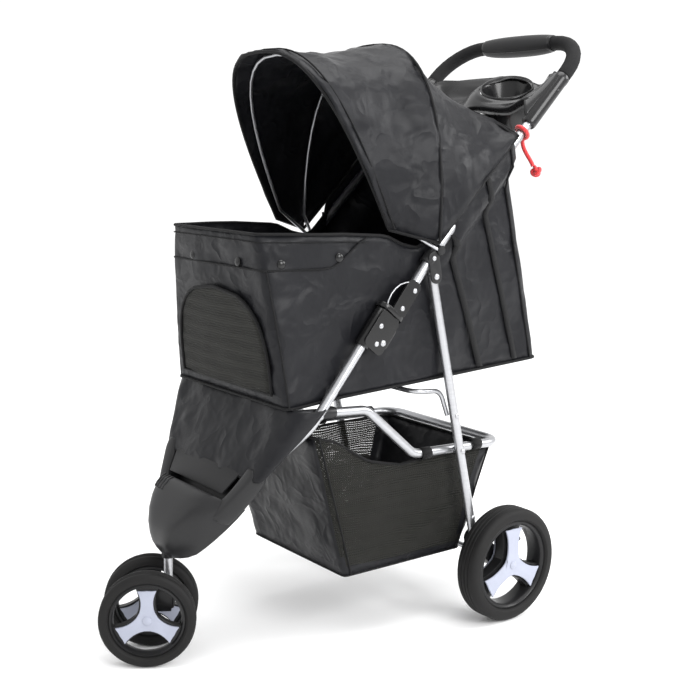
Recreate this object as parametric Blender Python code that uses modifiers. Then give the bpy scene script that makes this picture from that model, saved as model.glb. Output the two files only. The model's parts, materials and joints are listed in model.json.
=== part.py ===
"""Folding three-wheeled pet stroller, in metres, +Z up, with its front towards -Y and its left side at +X.

The side frame is a four-bar: front leg, upper frame, rear leg and basket tube. Points written as
(y, z) lie in the plane of a side frame, and both sides are made by one loop over LEFT and RIGHT.
"""

from math import asin, atan2, cos, pi, radians, sin, tan

import bmesh
import bpy
from mathutils import Matrix, Vector

# Driving dimensions
TUBE = 0.0075                 # radius of the frame tubes
FIT = 0.0003                  # gap between pieces that touch
BORE_GAP = 0.0003             # radial clearance of a pin or tube in its hole
PIN = 0.003                   # radius of the pivot pins
FRAME_X = 0.162               # half spacing of the legs and the upper frame
BASKET_X = FRAME_X - TUBE * 2 - 0.004   # half spacing of the basket tube
FOLD_PIVOT = (-0.0395, 0.4853)
UPPER_ANGLE = radians(51.2)   # slope of the upper frame in the latch
HANDLE_ANGLE = radians(45.5)  # slope of the upper frame above its bend
BEND_RUN = 0.158              # from the fold pivot to the bend, along the tube
HANDLE_RUN = 0.4925           # from the bend to the cross tube of the handle
HANDLE_CORNER = 0.075
BARREL_SPACING = 0.0245       # the front leg runs this far in front of the upper frame's line
FRONT_PIVOT_DROP = 0.1485     # from the latch down the front leg to the basket tube's pivot
LEG_BEND_DROP = 0.020         # from that pivot to the bend of the leg
LEG_FOOT = (0.115, -0.236, 0.290)
REAR_LEG_TOP = (0.0655, 0.580)
REAR_LEG_FOOT = (0.170, 0.146)
REAR_PIVOT_Z = 0.291
BASKET_STUB = 0.040
BASKET_BEND_TOP = (-0.046, 0.378)
BASKET_BEND_LOW = (0.052, 0.2935)
BASKET_REAR = (0.245, 0.288)
BASKET_CORNER = 0.032
BRACE_TUBE = 0.004
BRACE_X = BASKET_X + 0.005

REAR_AXLE = (0.2155, 0.095)   # its height is the rear wheel's radius
REAR_WHEEL_X = FRAME_X + 0.034
REAR_WHEEL_WIDTH = 0.044
AXLE = 0.005
CASTER_Y = -0.313
CASTER_ANGLE = radians(-32.5)
CASTER_LEAD = 0.029           # the wheels stand ahead of the stem, as after backing up
FRONT_WHEEL = 0.073
FRONT_WHEEL_WIDTH = 0.028
FRONT_WHEEL_X = 0.038         # from the middle of the fork to a wheel's centre
RIM_INSET = 0.006             # from the side of a tyre in to the rim
STEM = 0.0070
STEM_FOOT = 0.118
STEM_TOP = 0.212
BOSS_FOOT = 0.152
NOSE_TIP = (-0.308, 0.160)
NOSE_ANGLE = radians(60)
NOSE_DEPTH = 0.034
PLATE_TOP = (-0.2415, 0.2975)
PLATE_FOOT = (-0.2650, 0.2660)
PLATE_HALF = (0.0930, 0.0780)  # half width of the foot plate at its top and foot

BARREL = 0.011
LOWER_BARREL = (-0.024, 0.043)   # the lower latch's reach along the tube, from the fold pivot
UPPER_BARREL = (0.036, 0.111)
RING_FOOT = 0.0435
RING_HEIGHT = 0.008
RING_WALL = 0.0028
CHEEK = 0.0028

CLOTH = 0.003
CABIN_FRONT = -0.207
CABIN_FOOT = (0.398, 0.425)      # height of the cabin's floor at its front and rear ends
CABIN_REAR_FOOT = (0.316, 0.425)
CABIN_REAR_TOP = (0.226, 0.770)
CABIN_RIM = 0.652
CABIN_X = FRAME_X - TUBE * 2
CABIN_FRONT_X = (CABIN_X + 0.011, CABIN_X - 0.029)   # half width of the front face at its foot and at its rim
CANOPY_PIVOT_RUN = 0.176         # from the fold pivot to the bows' pivot, along the tube
BOW = 0.003
BOW_X = FRAME_X + TUBE + BOW + 0.001

TRAY_CENTRE = (0.312, 0.868)
TRAY_ANGLE = radians(30)
TRAY_RUN = 0.058                 # half length of the tray along its slope
CUP_PLACE = (0.060, 0.317)
CUP = 0.043
CUP_WALL = 0.003
CUP_FOOT = 0.806
SLEEVE = 0.0125                  # outer radius of the foam and of the tray's clamps
GRIP_HALF = 0.083

CORD = 0.0034
CORD_RUN = 0.434                 # where the cord is tied, along the upper frame

LEFT, RIGHT = 1, -1
SIDES = (("left", LEFT), ("right", RIGHT))

COLOURS = {
    "frame_silver": ((0.62, 0.63, 0.65), 0.35, 0.9),
    "black_plastic": ((0.022, 0.022, 0.024), 0.42, 0.0),
    "gloss_plastic": ((0.018, 0.018, 0.020), 0.18, 0.0),
    "grey_plastic": ((0.045, 0.045, 0.048), 0.5, 0.0),
    "light_plastic": ((0.72, 0.74, 0.86), 0.35, 0.0),
    "rubber": ((0.018, 0.018, 0.018), 0.75, 0.0),
    "foam": ((0.020, 0.020, 0.021), 0.85, 0.0),
    "nylon": ((0.016, 0.016, 0.020), 0.55, 0.0),
    "board": ((0.030, 0.030, 0.032), 0.8, 0.0),
    "red_cord": ((0.75, 0.03, 0.03), 0.6, 0.0),
}


# ---------------------------------------------------------------- scene, materials, modifiers


def start():
    for obj in list(bpy.data.objects):
        bpy.data.objects.remove(obj, do_unlink=True)
    for name in ("Stroller", "Cutters"):
        bpy.context.scene.collection.children.link(bpy.data.collections.new(name))


def material(name):
    made = bpy.data.materials.get(name)
    if made is None:
        colour, roughness, metallic = COLOURS[name]
        made = bpy.data.materials.new(name)
        made.use_nodes = True
        shader = made.node_tree.nodes["Principled BSDF"]
        shader.inputs["Base Color"].default_value = (*colour, 1)
        shader.inputs["Roughness"].default_value = roughness
        shader.inputs["Metallic"].default_value = metallic
    return made


def add(name, data, finish=None):
    """Links a new object: a part when it has a finish, or else a cutter."""
    obj = bpy.data.objects.new(name, data)
    if finish:
        data.materials.append(material(finish))
        bpy.data.collections["Stroller"].objects.link(obj)
    else:
        obj.hide_render = True
        obj.display_type = "WIRE"
        bpy.data.collections["Cutters"].objects.link(obj)
    return obj


def boolean(obj, other, operation="DIFFERENCE"):
    modifier = obj.modifiers.new(other.name, "BOOLEAN")
    modifier.operation = operation
    modifier.object = other


def bevel(obj, width, segments=2, angle=40):
    modifier = obj.modifiers.new("rounded edges", "BEVEL")
    modifier.width = width
    modifier.segments = segments
    modifier.limit_method = "ANGLE"
    modifier.angle_limit = radians(angle)


def shade(obj, angle=40):
    obj.data.shade_smooth()
    obj.data.set_sharp_from_angle(angle=radians(angle))


# ---------------------------------------------------------------- shape helpers


def rounded_path(points, radius, steps=5):
    """The points with each inner corner replaced by an arc of this radius."""
    points = [Vector(point) for point in points]
    path = [points[0]]
    for before, corner, after in zip(points, points[1:], points[2:]):
        back = (before - corner).normalized()
        ahead = (after - corner).normalized()
        half = back.angle(ahead) / 2
        reach = radius / tan(half)
        centre = corner + (back + ahead).normalized() * (radius / sin(half))
        start_arm = (corner + back * reach - centre).normalized()
        end_arm = (corner + ahead * reach - centre).normalized()
        for step in range(steps + 1):
            path.append(centre + start_arm.slerp(end_arm, step / steps) * radius)
    path.append(points[-1])
    return path


def curve_data(name, paths, cyclic=False, flat=False):
    data = bpy.data.curves.new(name, "CURVE")
    data.dimensions = "2D" if flat else "3D"
    for path in paths:
        spline = data.splines.new("POLY")
        spline.points.add(len(path) - 1)
        for point, place in zip(spline.points, path):
            point.co = (*place, *([0] * (3 - len(place))), 1)
        spline.use_cyclic_u = cyclic
    return data


def tube(name, path, radius, finish=None, sides=16):
    """A round bar or tube along a path, as one welded mesh."""
    data = curve_data(name, [path])
    data.bevel_depth = radius
    data.bevel_resolution = (sides - 4) // 2
    data.use_fill_caps = True
    guide = add(name + " guide", data)
    bpy.context.view_layer.update()
    mesh = bpy.data.meshes.new_from_object(guide.evaluated_get(bpy.context.evaluated_depsgraph_get()))
    bpy.data.objects.remove(guide, do_unlink=True)
    work = bmesh.new()
    work.from_mesh(mesh)
    bmesh.ops.remove_doubles(work, verts=work.verts, dist=0.00005)
    bmesh.ops.recalc_face_normals(work, faces=work.faces)
    work.to_mesh(mesh)
    work.free()
    mesh.name = name
    obj = add(name, mesh, finish)
    shade(obj)
    return obj


def plate(name, outlines, thickness, finish=None):
    """Closed flat outlines in local XY, filled and thickened about local Z, as a mesh."""
    data = curve_data(name, outlines, cyclic=True, flat=True)
    data.fill_mode = "BOTH"
    data.extrude = thickness / 2
    guide = add(name + " outline", data)
    bpy.context.view_layer.update()
    mesh = bpy.data.meshes.new_from_object(guide.evaluated_get(bpy.context.evaluated_depsgraph_get()))
    bpy.data.objects.remove(guide, do_unlink=True)
    work = bmesh.new()
    work.from_mesh(mesh)
    bmesh.ops.remove_doubles(work, verts=work.verts, dist=0.00005)
    bmesh.ops.recalc_face_normals(work, faces=work.faces)
    work.to_mesh(mesh)
    work.free()
    mesh.name = name
    return add(name, mesh, finish)


def turned(name, profile, finish=None, steps=24, closed=False):
    """A profile of (radius, height) points, outer side running down, turned about local Z."""
    mesh = bpy.data.meshes.new(name)
    edges = [(i, i + 1) for i in range(len(profile) - 1)]
    if closed:
        edges.append((len(profile) - 1, 0))
    mesh.from_pydata([(radius, 0, height) for radius, height in profile], edges, [])
    obj = add(name, mesh, finish)
    screw = obj.modifiers.new("turned", "SCREW")
    screw.axis = "Z"
    screw.steps = screw.render_steps = steps
    screw.use_merge_vertices = True
    screw.merge_threshold = 0.0001
    screw.use_smooth_shade = True
    return obj


def rod(name, start_point, end_point, radius, finish=None, sides=16):
    return tube(name, [start_point, end_point], radius, finish, sides)


def box(name, size, place, turn=None, finish=None, rounding=0):
    mesh = bpy.data.meshes.new(name)
    work = bmesh.new()
    bmesh.ops.create_cube(work, size=1)
    bmesh.ops.scale(work, vec=size, verts=work.verts)
    work.to_mesh(mesh)
    work.free()
    obj = add(name, mesh, finish)
    obj.matrix_world = Matrix.Translation(place) @ (turn or Matrix()).to_4x4()
    if rounding:
        bevel(obj, rounding)
    return obj


def drill(obj, place, radius, length, axis=(1, 0, 0)):
    """Cuts a round hole of this length centred on a place."""
    middle = Vector(place)
    arm = Vector(axis).normalized() * length / 2
    boolean(obj, rod(obj.name + " hole", middle - arm, middle + arm, radius, sides=12))


def along_x(side, x):
    """Turns local Z to point out of the stroller's side, and moves the origin out to x."""
    return Matrix.Translation((side * x, 0, 0)) @ Matrix.Rotation(side * pi / 2, 4, "Y")


def arc(centre, radius, first, last, steps):
    turn = [first + (last - first) * step / steps for step in range(steps + 1)]
    return [(centre[0] + radius * cos(a), centre[1] + radius * sin(a)) for a in turn]


def capsule(start_point, end_point, radius, steps=8):
    """The outline of a bar with round ends."""
    lean = atan2(end_point[1] - start_point[1], end_point[0] - start_point[0])
    first = arc(start_point, radius, lean + pi / 2, lean + 3 * pi / 2, steps)
    return first + arc(end_point, radius, lean - pi / 2, lean + pi / 2, steps)


def side_plate(name, outlines, side, inner_x, thickness, finish=None):
    """Outlines given as (y, z), standing in the plane of a side frame, from inner_x outwards."""
    obj = plate(name, outlines, thickness, finish)
    upright = Matrix(((0, 0, 1, 0), (1, 0, 0, 0), (0, 1, 0, 0), (0, 0, 0, 1)))
    obj.matrix_world = Matrix.Translation((side * (inner_x + thickness / 2), 0, 0)) @ upright
    return obj


# ---------------------------------------------------------------- points of the side frame

UPPER_DIRECTION = (cos(UPPER_ANGLE), sin(UPPER_ANGLE))


def on_upper(run, forward=0.0):
    """A (y, z) point on the latch's line: run from the fold pivot, and a distance in front of it."""
    along, rise = UPPER_DIRECTION
    return (FOLD_PIVOT[0] + run * along - forward * rise, FOLD_PIVOT[1] + run * rise + forward * along)


BEND = on_upper(BEND_RUN)


def on_handle(run):
    """A (y, z) point on the upper frame above its bend, run from the fold pivot along the tube."""
    reach = run - BEND_RUN
    return (BEND[0] + reach * cos(HANDLE_ANGLE), BEND[1] + reach * sin(HANDLE_ANGLE))


HANDLE = on_handle(BEND_RUN + HANDLE_RUN)
FRONT_PIVOT = on_upper(-FRONT_PIVOT_DROP, BARREL_SPACING)
LEG_BEND = on_upper(-FRONT_PIVOT_DROP - LEG_BEND_DROP, BARREL_SPACING)
REAR_SLOPE = (REAR_LEG_FOOT[0] - REAR_LEG_TOP[0]) / (REAR_LEG_FOOT[1] - REAR_LEG_TOP[1])


def on_rear_leg(height):
    return (REAR_LEG_TOP[0] + (height - REAR_LEG_TOP[1]) * REAR_SLOPE, height)


REAR_PIVOT = on_rear_leg(REAR_PIVOT_Z)
CANOPY_PIVOT = on_handle(CANOPY_PIVOT_RUN)


def upper_height(y):
    """The height of the upper frame's line above its bend at y."""
    return BEND[1] + (y - BEND[0]) * tan(HANDLE_ANGLE)


# ---------------------------------------------------------------- front frame


def front_legs():
    for word, side in SIDES:
        x = side * FRAME_X
        top = on_upper(LOWER_BARREL[1] - 0.004, BARREL_SPACING)
        foot = (side * LEG_FOOT[0], *LEG_FOOT[1:])
        path = rounded_path([(x, *top), (x, *LEG_BEND), foot], 0.045)
        leg = tube(f"front_leg_{word}", path, TUBE, "frame_silver")
        drill(leg, (x, *FRONT_PIVOT), PIN + BORE_GAP, 0.03)


def pivot_pins():
    """Shouldered rivets that hold the legs a spacing collar's width away from the basket tube."""
    outer = FRAME_X + TUBE + FIT
    inner = BASKET_X - TUBE * 0.5
    high, low = FRAME_X - TUBE - FIT, BASKET_X + TUBE + FIT
    head = [(0, outer + 0.0022), (0.0034, outer + 0.0018), (0.0048, outer), (PIN, outer), (PIN, high),
            (0.006, high), (0.006, low)]
    front_end = [(PIN, low), (PIN, inner), (0, inner)]
    rear_end = [(0, low)]
    for owner, place, end in (("front", FRONT_PIVOT, front_end), ("rear", REAR_PIVOT, rear_end)):
        for word, side in SIDES:
            pin = turned(f"{owner}_pivot_pin_{word}", head + end, "frame_silver", steps=12)
            pin.matrix_world = Matrix.Translation((0, *place)) @ Matrix.Rotation(side * pi / 2, 4, "Y")


def latches():
    """The two halves of each fold latch, the pin they turn on and the locking ring round them."""
    turn = Matrix.Rotation(pi / 2 - UPPER_ANGLE, 4, "X").inverted()
    for word, side in SIDES:
        x = side * FRAME_X

        def place(run, forward=0.0):
            return (x, *on_upper(run, forward))

        lower = rod(f"latch_lower_{word}", place(LOWER_BARREL[0], BARREL_SPACING),
                    place(LOWER_BARREL[1], BARREL_SPACING), BARREL, "black_plastic", sides=20)
        for inner_x in (FRAME_X - TUBE - 0.0006 - CHEEK, FRAME_X + TUBE + 0.0006):
            outline = capsule(on_upper(0, 0), on_upper(UPPER_BARREL[0] - 0.013, 0), 0.0105)
            reach = [on_upper(run, forward) for run, forward in
                     ((-0.010, 0), (-0.018, BARREL_SPACING), (0.033, BARREL_SPACING), (0.033, 0))]
            boolean(lower, side_plate(f"latch cheek {word}", [outline], side, inner_x, CHEEK), "UNION")
            web = side_plate(f"latch web {word}", [reach], side, inner_x, CHEEK)
            boolean(lower, web, "UNION")
        drill(lower, place(0), PIN + BORE_GAP, 0.05)
        middle = (LOWER_BARREL[0] + LOWER_BARREL[1] - 0.004) / 2 - 0.01
        length = LOWER_BARREL[1] - 0.004 - LOWER_BARREL[0] + 0.0203
        drill(lower, place(middle, BARREL_SPACING), TUBE + BORE_GAP, length, (0, *UPPER_DIRECTION))

        sleeve = [(BARREL, UPPER_BARREL[1]), (BARREL, UPPER_BARREL[0]), (TUBE + BORE_GAP, UPPER_BARREL[0]),
                  (TUBE + BORE_GAP, UPPER_BARREL[1])]
        upper = turned(f"latch_upper_{word}", sleeve, "black_plastic", steps=20, closed=True)
        upper.matrix_world = Matrix.Translation(place(0)) @ turn

        loop = capsule((0, 0), (0, -BARREL_SPACING), BARREL + BORE_GAP + RING_WALL, steps=10)
        hole = arc((0, 0), BARREL + BORE_GAP, 0, 2 * pi * 19 / 20, 19)
        ring = plate(f"latch_ring_{word}", [loop, hole], RING_HEIGHT, "black_plastic")
        ring.matrix_world = Matrix.Translation(place(RING_FOOT + RING_HEIGHT / 2)) @ turn

        outer = FRAME_X + TUBE + 0.0006 + CHEEK + FIT
        inner = FRAME_X - TUBE - 0.0006 - CHEEK
        profile = [(0, outer + 0.0022), (0.0036, outer + 0.0018), (0.0050, outer), (PIN, outer),
                   (PIN, inner), (0, inner)]
        pin = turned(f"fold_pin_{word}", profile, "frame_silver", steps=12)
        pin.matrix_world = Matrix.Translation((0, *FOLD_PIVOT)) @ Matrix.Rotation(side * pi / 2, 4, "Y")


def nose_frame():
    """The nose's plane: local X across, local Y up its slope from the tip, local Z forwards."""
    return Matrix.Translation((0, *NOSE_TIP)) @ Matrix.Rotation(NOSE_ANGLE, 4, "X")


def nose():
    """The moulded foot rest: a pointed shell with arms for the front legs and a boss for the caster."""
    half = [(0.012, 0.000), (0.030, 0.010), (0.052, 0.030), (0.076, 0.058), (0.098, 0.092),
            (0.118, 0.126), (0.130, 0.150), (0.108, 0.164), (0.100, 0.152), (0.092, 0.132),
            (0.087, 0.112), (0.078, 0.106), (0.040, 0.104)]
    outline = half + [(-x, y) for x, y in reversed(half)]
    shell = plate("nose_shell", [outline], NOSE_DEPTH, "grey_plastic")
    shell.matrix_world = nose_frame()
    bevel(shell, 0.005, segments=2)
    boss = rod("caster boss", (0, CASTER_Y, BOSS_FOOT), (0, CASTER_Y, STEM_TOP + 0.008), 0.0135, sides=20)
    boolean(shell, boss, "UNION")
    for side in (LEFT, RIGHT):
        foot = Vector((side * LEG_FOOT[0], *LEG_FOOT[1:]))
        slope = (Vector((side * FRAME_X, *LEG_BEND)) - foot).normalized()
        drill(shell, foot + slope * (0.025 - FIT), TUBE + BORE_GAP, 0.05, slope)
    drill(shell, (0, CASTER_Y, STEM_TOP + 0.0005 - 0.05), STEM + BORE_GAP, 0.1, (0, 0, 1))


def foot_plate():
    rise = Vector((0, PLATE_TOP[0] - PLATE_FOOT[0], PLATE_TOP[1] - PLATE_FOOT[1]))
    half = rise.length / 2
    outline = [(-PLATE_HALF[1], -half), (PLATE_HALF[1], -half), (PLATE_HALF[0], half),
               (-PLATE_HALF[0], half)]
    board = plate("foot_plate", [outline], 0.003, "grey_plastic")
    middle = ((PLATE_TOP[0] + PLATE_FOOT[0]) / 2, (PLATE_TOP[1] + PLATE_FOOT[1]) / 2)
    board.matrix_world = Matrix.Translation((0, *middle)) @ Matrix.Rotation(atan2(rise.z, rise.y), 4, "X")


# ---------------------------------------------------------------- upper frame


def upper_frame():
    start_point = on_upper(-0.010)
    points = [(FRAME_X, *start_point), (FRAME_X, *BEND), (FRAME_X, *HANDLE)]
    points += [(-x, y, z) for x, y, z in reversed(points)]
    low = rounded_path(points[:3], 0.25)
    high = rounded_path([points[1], points[2], points[3], points[4]], HANDLE_CORNER, steps=8)
    mirror = [(-x, y, z) for x, y, z in reversed(low[:-1])]
    handle = tube("handle_tube", low[:-1] + high[1:-1] + mirror, TUBE, "frame_silver")
    for side in (LEFT, RIGHT):
        drill(handle, (side * FRAME_X, *FOLD_PIVOT), PIN + BORE_GAP, 0.03)


def sleeve_on(name, path, finish):
    """A hollow sleeve along part of the handle tube."""
    outer = tube(name, path, SLEEVE, finish, sides=16)
    first = path[0] + (path[0] - path[1]).normalized() * 0.004
    last = path[-1] + (path[-1] - path[-2]).normalized() * 0.004
    boolean(outer, tube(name + " bore", [first, *path[1:-1], last], TUBE + BORE_GAP, sides=16))
    return outer


def grips():
    foam_end = on_handle(BEND_RUN + HANDLE_RUN - HANDLE_CORNER - 0.012)
    for word, side in SIDES:
        corner = rounded_path([(side * FRAME_X, *foam_end), (side * FRAME_X, *HANDLE),
                               (side * (GRIP_HALF + 0.0006), *HANDLE)], HANDLE_CORNER, steps=8)
        sleeve_on(f"foam_grip_{word}", corner, "foam")
    stations = [-1, -0.97, -0.7, -0.3, 0, 0.3, 0.7, 0.97, 1]
    bulge = [(0.0130 + 0.0055 * (1 - abs(s) ** 2.5), s * GRIP_HALF) for s in stations]
    bore = TUBE + BORE_GAP
    profile = list(reversed(bulge)) + [(bore, -GRIP_HALF), (bore, GRIP_HALF)]
    grip = turned("centre_grip", profile, "grey_plastic", steps=20, closed=True)
    grip.matrix_world = Matrix.Translation((0, *HANDLE)) @ Matrix.Rotation(pi / 2, 4, "Y")


def cup_tray():
    """The tray between the handle's sides: a sloping panel, a cup, a tool dish and two clamps."""
    slope = Matrix.Rotation(TRAY_ANGLE, 4, "X")
    middle = Vector((0, *TRAY_CENTRE))
    half = [(FRAME_X - 0.010, -0.030), (FRAME_X - 0.042, -TRAY_RUN), (0, -TRAY_RUN - 0.004)]
    back = [(0, TRAY_RUN - 0.006), (0.060, TRAY_RUN - 0.004), (FRAME_X - 0.012, 0.044)]
    right_side = [(x, y) for x, y in back] + half[:2]
    outline = right_side + [half[2]] + [(-x, y) for x, y in reversed(right_side[1:])]
    tray = plate("cup_tray", [outline], 0.010, "gloss_plastic")
    tray.matrix_world = Matrix.Translation(middle) @ slope
    top = middle.z + (CUP_PLACE[1] - middle.y) * tan(TRAY_ANGLE)
    cup = rod("cup wall", (*CUP_PLACE, CUP_FOOT), (*CUP_PLACE, top), CUP, sides=32)
    boolean(tray, cup, "UNION")
    run = BEND_RUN + HANDLE_RUN - HANDLE_CORNER - 0.0126
    for side in (LEFT, RIGHT):
        clamp_top = (side * FRAME_X, *on_handle(run))
        clamp_foot = (side * FRAME_X, *on_handle(run - 0.112))
        boolean(tray, rod("tray clamp", clamp_foot, clamp_top, SLEEVE, sides=20), "UNION")
    for side in (LEFT, RIGHT):
        direction = (0, cos(HANDLE_ANGLE), sin(HANDLE_ANGLE))
        drill(tray, (side * FRAME_X, *on_handle(run - 0.056)), TUBE + BORE_GAP, 0.14, direction)
    depth = 0.08
    drill(tray, (*CUP_PLACE, CUP_FOOT + CUP_WALL + depth), CUP - CUP_WALL, depth * 2, (0, 0, 1))
    dish = box("tool dish", (0.100, 0.060, 0.012), middle + slope @ Vector((-0.075, 0, 0.006)), slope)
    boolean(tray, dish)


def leg_brackets():
    """Plates that hang the rear legs from the upper frame, and the pins the legs turn on."""
    for word, side in SIDES:
        inner = FRAME_X + TUBE + FIT
        top = (REAR_LEG_TOP[0] - 0.006, REAR_LEG_TOP[1] + 0.029)
        hole = arc(REAR_LEG_TOP, PIN + BORE_GAP, 0, 2 * pi * 11 / 12, 11)
        side_plate(f"leg_bracket_{word}", [capsule(REAR_LEG_TOP, top, 0.011), hole], side, inner, 0.003,
                   "black_plastic")
        outer = inner + 0.003 + FIT
        far = FRAME_X - TUBE
        profile = [(0, outer + 0.0022), (0.0036, outer + 0.0018), (0.0050, outer), (PIN, outer), (PIN, far),
                   (0, far)]
        pin = turned(f"leg_pin_{word}", profile, "frame_silver", steps=12)
        pin.matrix_world = Matrix.Translation((0, *REAR_LEG_TOP)) @ Matrix.Rotation(side * pi / 2, 4, "Y")


# ---------------------------------------------------------------- rear frame and basket frame


def rear_frame():
    for word, side in SIDES:
        x = side * FRAME_X
        top = on_rear_leg(REAR_LEG_TOP[1] + 0.007)
        leg = rod(f"rear_leg_{word}", (x, *REAR_LEG_FOOT), (x, *top), TUBE, "frame_silver")
        drill(leg, (x, *REAR_LEG_TOP), PIN + BORE_GAP, 0.03)
        drill(leg, (x, *REAR_PIVOT), PIN + BORE_GAP, 0.03)

        outline = capsule((REAR_LEG_FOOT[0] + 0.004, REAR_LEG_FOOT[1] - 0.010), REAR_AXLE, 0.014)
        inner = FRAME_X - 0.011
        bracket = side_plate(f"axle_bracket_{word}", [outline], side, inner, 0.0225, "black_plastic")
        drill(bracket, (x, *REAR_AXLE), AXLE + BORE_GAP, 0.06)
        slope = (0, REAR_SLOPE, 1)
        drill(bracket, (x, *on_rear_leg(REAR_LEG_FOOT[1] + 0.0190)), TUBE + BORE_GAP, 0.04, slope)

    reach = REAR_WHEEL_X + REAR_WHEEL_WIDTH / 2 - RIM_INSET - FIT
    rod("rear_axle", (-reach, *REAR_AXLE), (reach, *REAR_AXLE), AXLE, "frame_silver", sides=12)
    side_points = [(0.118, 0.350), (0.101, 0.392), (0.046, 0.396)]
    points = [(BRACE_X, *point) for point in side_points]
    points += [(-x, y, z) for x, y, z in reversed(points)]
    tube("cross_brace", rounded_path(points, 0.022), BRACE_TUBE, "frame_silver", sides=10)


def basket_tube():
    slope = (BASKET_BEND_TOP[1] - FRONT_PIVOT[1]) / (BASKET_BEND_TOP[0] - FRONT_PIVOT[0])
    stub = (FRONT_PIVOT[0] - BASKET_STUB, FRONT_PIVOT[1] - BASKET_STUB * slope)
    rear_slope = (REAR_PIVOT[1] - BASKET_BEND_LOW[1]) / (REAR_PIVOT[0] - BASKET_BEND_LOW[0])
    rear = (BASKET_REAR[0], REAR_PIVOT[1] + rear_slope * (BASKET_REAR[0] - REAR_PIVOT[0]))
    points = [(BASKET_X, *point) for point in (stub, BASKET_BEND_TOP, BASKET_BEND_LOW, rear)]
    points += [(-x, y, z) for x, y, z in reversed(points)]
    obj = tube("basket_tube", rounded_path(points, BASKET_CORNER), TUBE, "frame_silver", sides=14)
    for side in (LEFT, RIGHT):
        drill(obj, (side * BASKET_X, *FRONT_PIVOT), PIN + BORE_GAP, 0.03)


# ---------------------------------------------------------------- wheels, caster and brakes


def wheel(name, radius, width, place):
    """Tyre, spoked rim and three-armed cover of one wheel, turned about the matrix's local Z."""
    rim = radius * 0.78
    inner = radius * 0.70
    edge = width / 2
    tyre = turned(f"{name}_tyre", [
        (rim + 0.002, edge), (radius - 0.009, edge), (radius - 0.002, edge - 0.004), (radius, edge - 0.011),
        (radius, 0.011 - edge), (radius - 0.002, 0.004 - edge), (radius - 0.009, -edge),
        (rim + 0.002, -edge),
        (rim, 0.004 - edge), (rim, edge - 0.004)], "rubber", steps=32, closed=True)
    tyre.matrix_world = place

    hub = AXLE + 0.010
    windows = []
    for arm in range(3):
        first = pi / 2 + arm * 2 * pi / 3
        gap = asin(0.011 / inner)
        outer = arc((0, 0), inner, first + gap, first + 2 * pi / 3 - gap, 7)
        near = arc((0, 0), hub + 0.009, first + 2 * pi / 3 - 0.62, first + 0.62, 3)
        windows.append(outer + near)
    bore = arc((0, 0), AXLE + BORE_GAP, 0, 2 * pi * 11 / 12, 11)
    outline = arc((0, 0), rim - FIT, 0, 2 * pi * 31 / 32, 31)
    body = plate(f"{name}_rim", [outline, bore, *windows], width - 2 * RIM_INSET, "black_plastic")
    body.matrix_world = place

    arms = []
    for arm in range(3):
        first = pi / 2 + arm * 2 * pi / 3
        tip = asin(0.012 / (inner - 0.004))
        arms += arc((0, 0), inner - 0.003, first - tip * 1.5, first + tip * 1.5, 3)
        arms += arc((0, 0), hub + 0.004, first + 0.75, first + 2 * pi / 3 - 0.75, 2)
    cover = plate(f"{name}_cover", [arms], 0.003, "light_plastic")
    cover.matrix_world = place @ Matrix.Translation((0, 0, edge - RIM_INSET + FIT + 0.0015))


def wheels():
    for word, side in SIDES:
        place = along_x(side, REAR_WHEEL_X)
        place.translation = (side * REAR_WHEEL_X, *REAR_AXLE)
        wheel(f"rear_wheel_{word}", REAR_AXLE[1], REAR_WHEEL_WIDTH, place)
        place = caster_frame() @ along_x(side, FRONT_WHEEL_X)
        wheel(f"front_wheel_{word}", FRONT_WHEEL, FRONT_WHEEL_WIDTH, place)


def caster_frame():
    """Local X along the front axle, local Z up, with the origin at the middle of the axle."""
    turn = Matrix.Translation((0, CASTER_Y, 0)) @ Matrix.Rotation(CASTER_ANGLE, 4, "Z")
    return turn @ Matrix.Translation((0, -CASTER_LEAD, FRONT_WHEEL))


def caster():
    stem = rod("caster_stem", (0, CASTER_Y, STEM_FOOT), (0, CASTER_Y, STEM_TOP), STEM, "frame_silver")
    shade(stem)
    half = 0.014
    fork = box("caster_fork", (half * 2, 0.034, 0.040), (0, 0, 0), finish="black_plastic", rounding=0.004)
    seat = Vector((0, CASTER_LEAD * 0.75, STEM_FOOT - FRONT_WHEEL - 0.0207))
    fork.matrix_world = caster_frame() @ Matrix.Translation(seat)
    boss = rod("fork boss", (-half, 0, 0), (half, 0, 0), 0.013)
    arm = box("fork arm", (half * 2, 0.036, 0.022), (0, CASTER_LEAD * 0.55, 0.012))
    for piece in (boss, arm):
        piece.matrix_world = caster_frame() @ piece.matrix_world
        boolean(fork, piece, "UNION")
    frame = caster_frame()
    drill(fork, frame.translation, AXLE + BORE_GAP, 0.08, frame.to_3x3() @ Vector((1, 0, 0)))
    reach = FRONT_WHEEL_X + FRONT_WHEEL_WIDTH / 2 - RIM_INSET - FIT
    ends = [frame @ Vector((side * reach, 0, 0)) for side in (LEFT, RIGHT)]
    rod("front_axle", *ends, AXLE, "frame_silver", sides=12)


def brakes():
    for word, side in SIDES:
        inner = FRAME_X - 0.008
        hinge = (REAR_AXLE[0] + 0.0143, REAR_AXLE[1] + 0.0107)
        outline = capsule(hinge, (hinge[0] + 0.042, hinge[1] + 0.012), 0.0035, steps=4)
        side_plate(f"brake_pedal_{word}", [outline], side, inner, 0.018, "grey_plastic")


# ---------------------------------------------------------------- soft parts


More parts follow.
